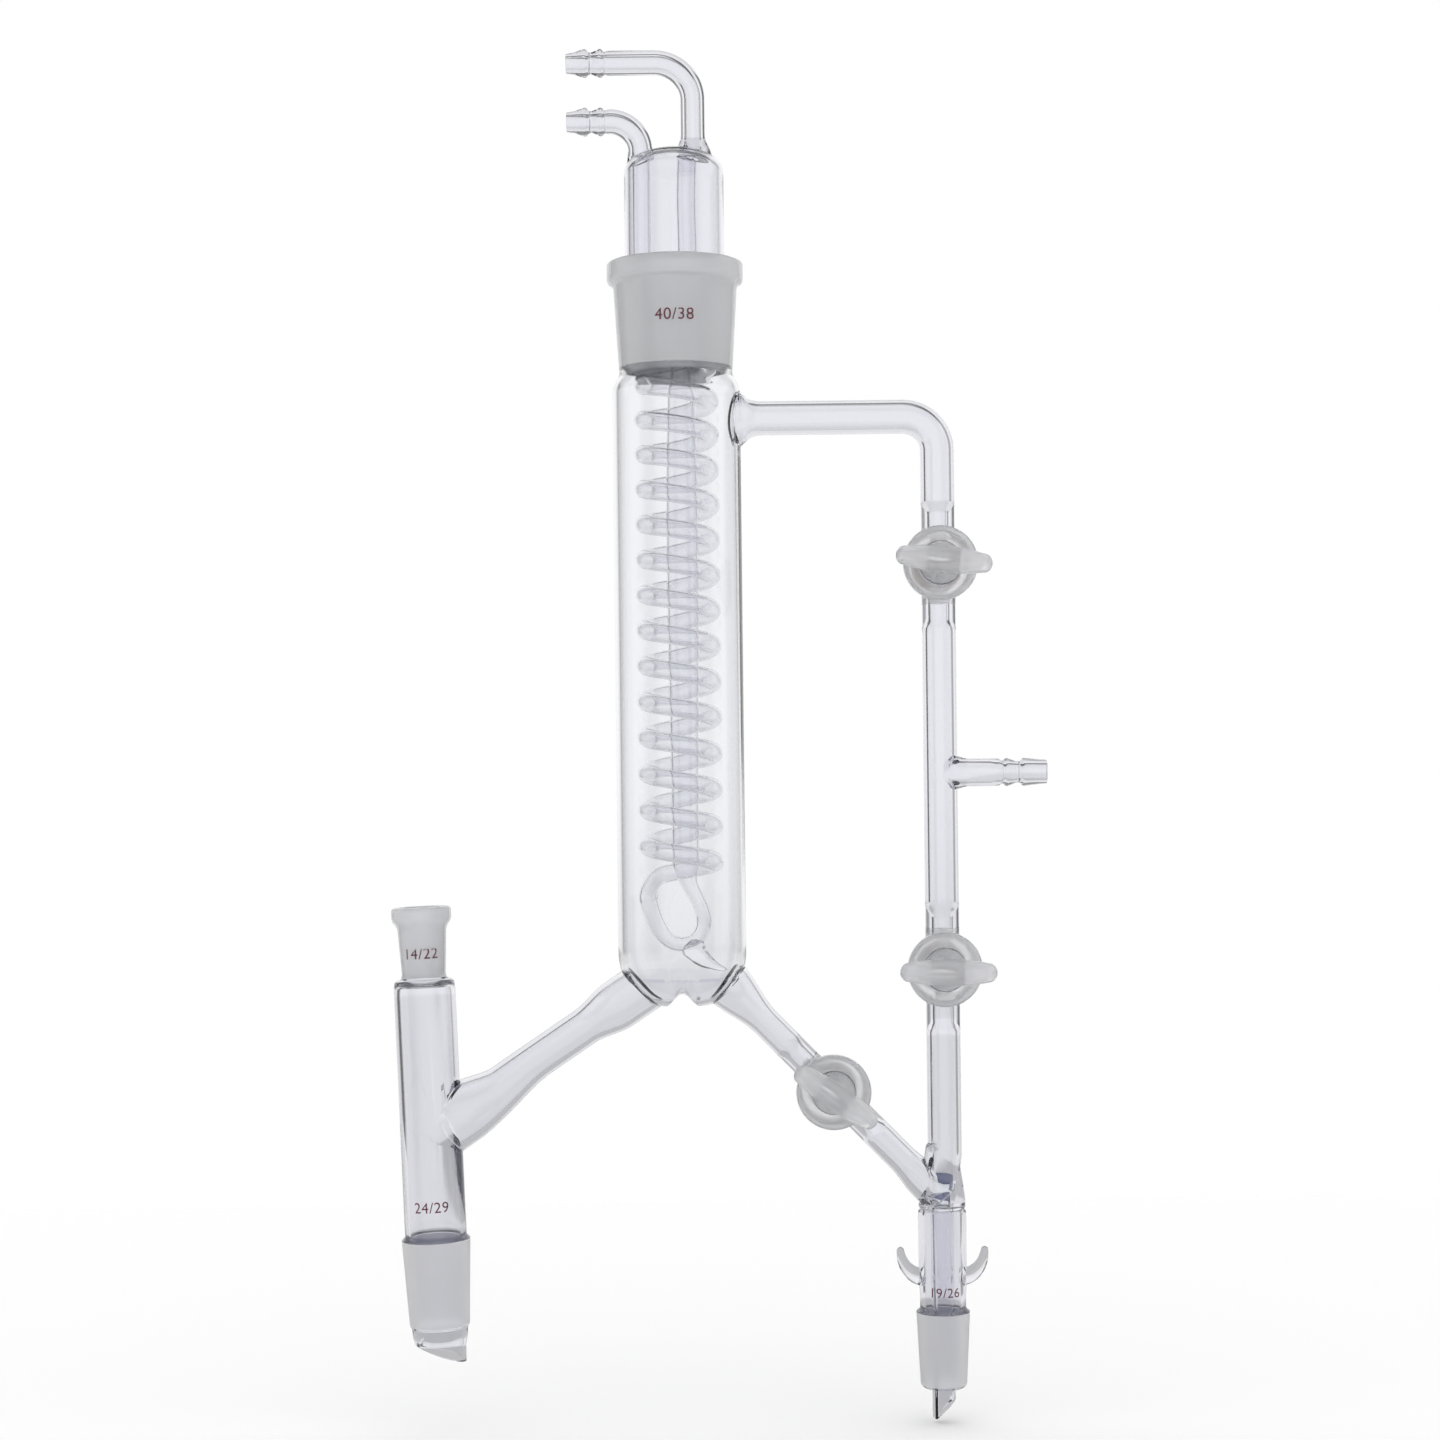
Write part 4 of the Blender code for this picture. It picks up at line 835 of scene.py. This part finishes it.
for name, (centre, _, _, _) in stopcocks.items():
    from_axis = np.hypot(across - centre[0], height - centre[2])
    marks[(from_axis < BARREL_RIM + 0.0003) & (np.abs(depth) < BARREL_HALF + 0.0001)] = WORKED
    seat_radius = PLUG_WIDE + SEAT_GAP - TAPER * (BARREL_HALF + depth)
    marks[(np.abs(from_axis - seat_radius) < ON_FACE) & (np.abs(depth) < BARREL_HALF)] = SEATED
marks[(takeoff_radius < LINE_BORE + 0.0003) & (height > SEAM + 0.0014) & (height < SEAM + 0.0128)] = SEALED
kinds = [clear, frosted, worked, sealed, seated, thin]
dress(body, "head", ["head_body"], kinds, marks, 60.0)
print("faces of each glass:", np.bincount(marks).tolist())

# %% [markdown]
# ## Plugs
#
# A plug is ground to its seat and ends in a T-handle, drawn out thin at both ends. The bore runs across
# it, parallel to the handle, so the handle shows which way the stopcock is set.

# %% Plugs, handles and cross bores
NECK_RADIUS = 0.0068
NECK_LENGTH = 0.0110
HANDLE_HALF = 0.0167
HANDLE_MIDDLE = 0.00475
HANDLE_END = 0.0028
CROSS_BORE = 0.0020
GROOVE_RADIUS = 0.0048
RING_RADIUS = 0.0088
RING_THICKNESS = 0.0030
PLUG_END = 0.0036

groove_front = -BARREL_HALF + 0.0004
ring_front = -BARREL_HALF - SEAT_GAP
ring_back = ring_front - RING_THICKNESS
groove_back = ring_back - SEAT_GAP
plug_back = PLUG_WIDE - TAPER * (BARREL_HALF - groove_front)
end_radius = GROOVE_RADIUS + 0.0011
neck_front = BARREL_HALF + NECK_LENGTH
handle_level = neck_front + 0.52 * HANDLE_MIDDLE
plug_profile = rounded([
    (0.0, neck_front + 0.90 * HANDLE_MIDDLE),
    (0.62 * NECK_RADIUS, neck_front + 0.56 * HANDLE_MIDDLE),
    (NECK_RADIUS - 0.0010, neck_front - 0.0030),
    (NECK_RADIUS, BARREL_HALF + 0.0040),
    (PLUG_WIDE, BARREL_HALF + 0.0010),
    (PLUG_WIDE, BARREL_HALF),
    (plug_back, groove_front),
    (GROOVE_RADIUS, groove_front - 0.0002),
    (GROOVE_RADIUS, groove_back + 0.0002),
    (end_radius, groove_back),
    (end_radius, groove_back - PLUG_END),
    (0.0, groove_back - PLUG_END),
], 0.0009)
ring_profile = rounded([
    (RING_RADIUS - 0.0016, ring_front),
    (RING_RADIUS, ring_front),
    (RING_RADIUS, ring_back),
    (GROOVE_RADIUS + SEAT_GAP, ring_back),
    (GROOVE_RADIUS + SEAT_GAP, ring_front),
    (RING_RADIUS - 0.0018, ring_front),
], 0.0010, 7)
share = np.sin(np.linspace(-np.pi / 2.0, np.pi / 2.0, 60)) * 0.9995
round_off = np.sqrt(1.0 - np.clip((np.abs(share) - 0.86) / 0.14, 0.0, 1.0) ** 2)
handle_radius = (HANDLE_END + (HANDLE_MIDDLE - HANDLE_END) * np.cos(share * np.pi / 2.0)) * round_off
for name, (centre, angle, ring_material, ring_slot) in stopcocks.items():
    c, s = math.cos(angle), math.sin(angle)
    place = to_viewer @ np.array([[c, -s, 0.0], [s, c, 0.0], [0.0, 0.0, 1.0]])
    plug = turned(name + "_turned", plug_profile, centre, place, 80)
    line = flat_rows(share * HANDLE_HALF, handle_level, 0.0)[:, :3] @ place.T + centre
    handle = tube(name + "_handle", np.column_stack([line, handle_radius]), 48)
    line = np.array([[-0.010, 0.0, 0.0], [0.010, 0.0, 0.0]]) @ place.T + centre
    bore = tube(name + "_bore", np.column_stack([line, [CROSS_BORE] * 2]), 40)
    plug = fused(name + "_stopcock_plug", [plug, handle], [bore])
    across, depth, height = places(plug.data.polygons, "center").T
    from_axis = np.hypot(across - centre[0], height - centre[2])
    taper_radius = PLUG_WIDE - TAPER * (BARREL_HALF + depth)
    marks = (np.abs(from_axis - taper_radius) < ON_FACE) & (-depth < BARREL_HALF) & (-depth > groove_front)
    dress(plug, name + "_stopcock", [name + "_plug"], [worked, seated], marks)
    ring = turned(name + "_retaining_ring", ring_profile[:-1], centre, place, 80, loop=True)
    dress(ring, name + "_stopcock", [name + "_plug_ring"], [ring_material], sharp=60.0)

# %% [markdown]
# ## Condenser
#
# The condenser is a cap with a ground cone below, and one long water tube. The water comes in at the lower
# barb, runs down the coil, turns in a U at the foot and climbs the straight tube to the upper barb. The
# coil is a helix whose pitch grows a little on the way down. One line is worked out section by section,
# then carried with the outer radius and again with the bore's.

# %% Cap
CAP_RADIUS = 0.0175
CAP_WALL = 0.0018
CAP_SHOULDER = 0.3744
CAP_RISE = 0.0084
CONE_DROP = 0.0022
CONE_FOOT = 0.3030

cap_inside = CAP_RADIUS - CAP_WALL
cone_top = SOCKET_TOP - CONE_DROP


def cone_radius(height):
    """Radius of the ground cone at a height, clear of the socket by the seat's gap."""
    return SOCKET_RADIUS - TAPER * (SOCKET_TOP - height) - SEAT_GAP


dome_out = arc((0.0, CAP_SHOULDER), (CAP_RADIUS, CAP_RISE), 90.0, 0.0, 30)
wall = rounded([
    (CAP_RADIUS, CAP_SHOULDER - 0.0002),
    (CAP_RADIUS, cone_top + 0.0030),
    (cone_radius(cone_top), cone_top),
    (cone_radius(CONE_FOOT), CONE_FOOT),
    (0.0, CONE_FOOT),
], 0.0009)
dome_in = arc((0.0, CAP_SHOULDER), (cap_inside, CAP_RISE - CAP_WALL), 0.0, 90.0, 30)
cap = turned("cap_outer", np.concatenate([dome_out, wall]), main_origin, sides=128)
cap_space = np.concatenate([[(0.0, CONE_FOOT - OVER), (cap_inside, CONE_FOOT - OVER)], dome_in])
cap_space = turned("cap_space", cap_space, main_origin, sides=128)

# %% The line of the water tube
WATER_TIP = 0.00335
WATER_RADIUS = 0.0043
WATER_BORE = 0.0020
HOSE_REACH = 0.0503
INLET_HEIGHT = 0.3924
OUTLET_HEIGHT = 0.4130
INLET_OFFSET = -0.0116
OUTLET_OFFSET = 0.0069
INLET_BEND = 0.0106
OUTLET_BEND = 0.0134
COIL_RADIUS = 0.0118
COIL_TOP = 0.3115
PITCH_TOP = 0.0120
PITCH_FOOT = 0.01285
TURNS = 15
COIL_OUTER = 0.00325
CENTRE_OFFSET = 0.0016
CENTRE_RADIUS = 0.0048
NECK_TUBE = 0.0035
NECK_OFFSET = 0.0043
NECK_HEIGHT = 0.2970
U_RADIUS = 0.0027
TUBE_WALL = 0.0006
SAME_PLACE = 0.00005

barb = barb_profile(WATER_TIP, WATER_RADIUS, 0.0065, 0.0055)
seal_foot = CAP_SHOULDER + 0.0042


def hose_tube(name, offset, height, bend, swell, root):
    """Barb that points left, a level run, a quarter bend and a drop into the cap that swells at its root."""
    corner = (MAIN_X + offset, height)
    drop = np.linspace(height - bend - 0.0006, CAP_SHOULDER, 30)
    size = WATER_RADIUS + swell * flare(drop - root, 0.0072)
    rows = [flat_rows(HOSE_REACH + barb[:, 0], height, barb[:, 1])]
    rows += [bend_rows(corner, bend, WATER_RADIUS), flat_rows(corner[0], drop, size)]
    outer = tube(name + "_tube", np.concatenate(rows), 48)
    wide = WATER_BORE + 0.0003
    rows = [flat_rows([HOSE_REACH - OVER, HOSE_REACH + barb[-1, 0]], height, [WATER_BORE, wide])]
    rows += [bend_rows(corner, bend, wide), flat_rows(corner[0], [seal_foot - 0.0006], wide)]
    return outer, tube(name + "_bore", np.concatenate(rows), 32)


inlet, inlet_bore = hose_tube("inlet", INLET_OFFSET, INLET_HEIGHT, INLET_BEND, 0.0005, 0.3765)
outlet, outlet_bore = hose_tube("outlet", OUTLET_OFFSET, OUTLET_HEIGHT, OUTLET_BEND, 0.0023, 0.3798)
print("barb is", round(1000 * barb[-1, 0], 1), "mm long")

# %% Coil, U and straight return
PER_TURN = 64
turns = np.arange(PER_TURN / 12.0, (TURNS - 0.16) * PER_TURN) / PER_TURN
angle = np.pi + 2.0 * np.pi * turns
fall = PITCH_TOP * turns + (PITCH_FOOT - PITCH_TOP) / TURNS * turns**2 / 2.0
across = COIL_RADIUS * np.cos(angle)
coil = np.column_stack([across, COIL_RADIUS * np.sin(angle), COIL_TOP - fall])
first_way = (coil[1] - coil[0]) * PER_TURN / 4.0
last_way = (coil[-1] - coil[-2]) * PER_TURN / 4.0
coil_foot = coil[-1, 2] - 0.0008
LIMB_DROP = 0.0080


def joined(start, start_way, end, end_way, count):
    """Points of a cubic curve between two points, without its ends."""
    return cubic(np.linspace(0.0, 1.0, count)[1:-1, None], start, start_way, end, end_way)


inlet_seal = np.array([[INLET_OFFSET, 0.0, seal_foot + 0.0012], [INLET_OFFSET, 0.0, COIL_TOP + 0.0200]])
lead = (INLET_OFFSET - 0.0003, 0.0, COIL_TOP + 0.0085)
lead_in = joined(lead, (0.0, 0.0, -0.0150), coil[0], first_way, 26)
limb_top = np.array([-COIL_RADIUS + 0.0001, 0.0, coil_foot - LIMB_DROP])
lead_out = joined(coil[-1], last_way, limb_top, (0.0012, 0.0, -0.0070), 20)
down_run = np.concatenate([inlet_seal, [lead], lead_in, coil, lead_out])
down_run = np.column_stack([down_run, np.full(len(down_run), COIL_OUTER)])
u_knots = [
    (limb_top[0], -LIMB_DROP, COIL_OUTER),
    (-0.0105, -0.0125, 0.0032),
    (-0.0087, -0.0168, 0.0031),
    (-0.0062, -0.0207, 0.0029),
    (-0.0027, -0.0232, U_RADIUS),
    (0.0010, -0.0236, U_RADIUS),
    (0.0047, -0.0220, U_RADIUS),
    (0.0072, -0.0185, U_RADIUS),
    (0.0077, -0.0148, U_RADIUS),
    (0.0067, -0.0108, U_RADIUS),
    (0.0048, -0.0065, 0.0027),
    (0.0028, -0.0024, 0.0031),
    (0.0019, 0.0010, 0.0039),
    (CENTRE_OFFSET, 0.0045, CENTRE_RADIUS),
]
up_knots = [
    (CENTRE_OFFSET, coil_foot + 0.0100, CENTRE_RADIUS),
    (CENTRE_OFFSET, NECK_HEIGHT - 0.0050, CENTRE_RADIUS),
    (CENTRE_OFFSET, NECK_HEIGHT, CENTRE_RADIUS - 0.0002),
    (CENTRE_OFFSET, NECK_HEIGHT + 0.0040, NECK_TUBE + 0.0001),
    (CENTRE_OFFSET + 0.0001, NECK_HEIGHT + 0.0120, NECK_TUBE),
    (CENTRE_OFFSET + 0.0010, NECK_HEIGHT + 0.0240, NECK_TUBE),
    (NECK_OFFSET, NECK_HEIGHT + 0.0420, NECK_TUBE),
    (NECK_OFFSET, CAP_SHOULDER - 0.0080, NECK_TUBE),
    (NECK_OFFSET + 0.0004, seal_foot + 0.0012, NECK_TUBE),
]
water = np.concatenate([down_run, through(u_knots, 0.0005, coil_foot), through(up_knots, 0.0020)])
water = water[np.append(True, step_lengths(water) > SAME_PLACE)]
water[:, 0] += MAIN_X
bore = water.copy()
bore[:, 3] -= TUBE_WALL
horn_knots = [
    (0.0018, -0.0232, 0.0030),
    (0.0034, -0.0248, 0.0043),
    (0.0052, -0.0271, 0.0039),
    (0.0076, -0.0295, 0.0029),
    (0.0105, -0.0312, 0.0018),
    (0.0132, -0.0324, 0.0010),
    (0.0151, -0.0329, 0.0005),
    (0.0156, -0.0330, 0.0001),
]
horn = through(horn_knots, 0.0004, coil_foot) + (MAIN_X, 0.0, 0.0, 0.0)
cap = fused("cap", [cap, inlet, outlet], [cap_space])
forms = [cap, tube("water_tube", water, 28), tube("horn", horn, 32)]
condenser = fused("coil_condenser", forms, [tube("water_bore", bore, 20), inlet_bore, outlet_bore])
across, depth, height = places(condenser.data.polygons, "center").T
from_axis = np.hypot(across - MAIN_X, depth)
ground = np.abs(from_axis - cone_radius(height)) < 0.00015
ground &= (height < cone_top) & (height > GROUND_FOOT)
ground |= (from_axis > cap_inside - 0.0001) & (height < CONE_FOOT + 0.0012)
inside = (from_axis < cap_inside - 0.0003) & (height < CAP_SHOULDER)
marks = np.where(ground, 1, 2 * inside)
dress(condenser, "head", ["condenser_insert"], [clear, seated, thin], marks)
print("coil has", round(turns[-1], 1), "turns")

# %% [markdown]
# ## Printed sizes
#
# Each ground joint carries its standard size in red-brown enamel, fired on. The figures are flat outlines
# that are wrapped round the glass: the distance along the line becomes an angle round the axis. A label
# image would need a texture, and a flat decal would leave the glass's curve.

# %% Enamel and figures
enamel, _, _, shader = new_material("red_brown_enamel")
settings(shader, {"Base Color": (0.115, 0.022, 0.030, 1.0), "Roughness": 0.45})
PRINT_LIFT = 0.00005


def printed(name, words, size, height, axis, radius, way=np.eye(3)):
    """Wrap figures round an axis: x becomes the angle x / radius from the front, y stays the height."""
    curve = bpy.data.curves.new(name, "FONT")
    curve.body = words
    curve.size = size
    curve.align_x = "CENTER"
    curve.align_y = "CENTER"
    curve.space_character = 1.06
    letters = put(name + "_outline", curve)
    mesh = settled(letters, name)
    bpy.data.objects.remove(letters)
    flat = places(mesh.vertices)
    radius += PRINT_LIFT
    turn = flat[:, 0] / radius
    wrapped = np.column_stack([radius * np.sin(turn), -radius * np.cos(turn), height + flat[:, 1]])
    mesh.vertices.foreach_set("co", (wrapped @ way.T + axis).ravel())
    mesh.update()
    piece = put(name, mesh)
    mesh.materials.clear()
    mesh.materials.append(enamel)
    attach(piece, "head")


wide_print = SOCKET_RADIUS - TAPER * (SOCKET_TOP - 0.3210) + SOCKET_WALL
printed("size_wide_socket", "40/38", 0.0058, 0.3210, main_origin, wide_print)
small_print = SMALL_RADIUS - TAPER * (small_top - 0.1013) + SMALL_WALL
printed("size_small_socket", "14/22", 0.0054, 0.1008, np.zeros(3), small_print, lean)
printed("size_column_cone", "24/29", 0.0053, 0.0124, np.zeros(3), COLUMN_RADIUS, lean)
printed("size_receiver_cone", "19/26", 0.0047, -0.0197, takeoff_origin, JACKET_RADIUS)

# %% [markdown]
# ## Light and backdrop
#
# Glass has no colour of its own to light: it shows what stands behind and beside it. Catalogue photographs
# of glassware put a bright field behind the piece and dark strips beside it, and the strips draw its
# edges. Here the world is white to the eye. To rays that glass bends it is white panels with dark gaps
# between them, all the way round, so that edges are drawn from every side. A dark band high up does the
# same for level tubes, and so does the paper near the object, which such rays see as grey.

# %% World
BRIGHT_TO, DARK_FROM, DARK_TO, BRIGHT_FROM = [math.radians(angle) for angle in (30.0, 48.0, 62.0, 72.0)]
SIDE_ANGLE = math.radians(20.0)
DEPTH_LEFT, DEPTH_RIGHT = 0.90, 0.60
BAND_HEIGHT, BAND_LEVEL = 0.77, 0.25
LOW_LEVEL = 0.86
world = bpy.data.worlds.new("studio")
bpy.context.scene.world = world
world.use_nodes = True
nodes, links = world.node_tree.nodes, world.node_tree.links
sky = nodes["Background"]


def figure(operation, first, second=0.0):
    """One step of arithmetic in the tree that is being built."""
    step = nodes.new("ShaderNodeMath")
    step.operation = operation
    for socket, value in zip(step.inputs, (first, second)):
        if isinstance(value, bpy.types.NodeSocket):
            links.new(value, socket)
        else:
            socket.default_value = value
    return step.outputs["Value"]


def step_range(value, first, last, low, high):
    """Smooth change from low to high while the value goes from first to last."""
    step = nodes.new("ShaderNodeMapRange")
    step.interpolation_type = "SMOOTHSTEP"
    links.new(value, step.inputs["Value"])
    settings(step, {"From Min": first, "From Max": last, "To Min": low, "To Max": high})
    return step.outputs["Result"]


def bent_share():
    """1 for rays that glass has bent or mirrored, and 0 for the camera's own and for scattered ones."""
    path = nodes.new("ShaderNodeLightPath")
    bent = figure("MAXIMUM", path.outputs["Is Glossy Ray"], path.outputs["Is Transmission Ray"])
    return figure("MULTIPLY", bent, figure("SUBTRACT", 1.0, path.outputs["Is Camera Ray"]))


way = nodes.new("ShaderNodeSeparateXYZ")
links.new(nodes.new("ShaderNodeTexCoord").outputs["Generated"], way.inputs["Vector"])
level = way.outputs["Z"]
bearing = figure("ARCTAN2", way.outputs["X"], way.outputs["Y"])
turn = figure("PINGPONG", figure("ADD", bearing, 4.0 * math.pi), math.pi / 2.0)
near = step_range(turn, BRIGHT_TO, DARK_FROM, 1.0, 0.0)
far = step_range(turn, DARK_TO, BRIGHT_FROM, 0.0, 1.0)
dark = figure("SUBTRACT", 1.0, figure("ADD", near, far))
depth = step_range(bearing, -SIDE_ANGLE, SIDE_ANGLE, DEPTH_LEFT, DEPTH_RIGHT)
depth = figure("MULTIPLY", depth, step_range(level, -0.24, -0.17, 0.0, 1.0))
band = figure("ABSOLUTE", figure("SUBTRACT", level, BAND_HEIGHT))
band = step_range(band, 0.09, 0.20, BAND_LEVEL, 1.0)
fall = step_range(level, -0.10, 0.02, LOW_LEVEL, 1.0)
seen = figure("SUBTRACT", 1.0, figure("MULTIPLY", dark, depth))
seen = figure("MULTIPLY", seen, figure("MULTIPLY", band, fall))
strength = figure("ADD", 1.0, figure("MULTIPLY", bent_share(), figure("SUBTRACT", seen, 1.0)))
links.new(strength, sky.inputs["Strength"])
sky.inputs["Color"].default_value = (1.0, 1.0, 1.0, 1.0)

# %% Floor
FLOOR = -0.0665
FLOOR_HALF = 0.50
SHADE_LEVEL = 0.55
SHADE_FROM, SHADE_TO = 0.26, 0.34
floor_mesh = bpy.data.meshes.new("floor")
corners = np.insert(SQUARE * FLOOR_HALF + (MAIN_X, 0.0), 2, FLOOR, axis=1)
floor_mesh.from_pydata(corners.tolist(), [], [(0, 1, 2, 3)])
floor = put("floor", floor_mesh)
paper, nodes, links, shader = new_material("white_paper")
settings(shader, {"Base Color": (1.0, 1.0, 1.0, 1.0), "Roughness": 1.0, "Specular IOR Level": 0.0})
reach = nodes.new("ShaderNodeVectorMath")
reach.operation = "DISTANCE"
reach.inputs[1].default_value = (MAIN_X, 0.0, FLOOR)
links.new(nodes.new("ShaderNodeTexCoord").outputs["Object"], reach.inputs[0])
glow = nodes.new("ShaderNodeEmission")
shade = step_range(reach.outputs["Value"], SHADE_FROM, SHADE_TO, SHADE_LEVEL, LOW_LEVEL)
links.new(shade, glow.inputs["Strength"])
mix = nodes.new("ShaderNodeMixShader")
links.new(bent_share(), mix.inputs["Fac"])
links.new(shader.outputs["BSDF"], mix.inputs[1])
links.new(glow.outputs["Emission"], mix.inputs[2])
links.new(mix.outputs["Shader"], nodes["Material Output"].inputs["Surface"])
floor_mesh.materials.append(paper)

# %% Camera
camera_data = bpy.data.cameras.new("camera")
camera_data.lens = 67.5
camera_data.sensor_width = 36.0
camera_data.shift_y = 0.0417
camera = put("camera", camera_data)
camera.location = (0.1017, -0.950, 0.1604)
camera.rotation_euler = (math.radians(90.0), math.radians(0.65), 0.0)
scene = bpy.context.scene
scene.camera = camera
scene.view_settings.view_transform = "Standard"
scene.cycles.max_bounces = 40
scene.cycles.transmission_bounces = 40
scene.cycles.glossy_bounces = 12
scene.cycles.diffuse_bounces = 30
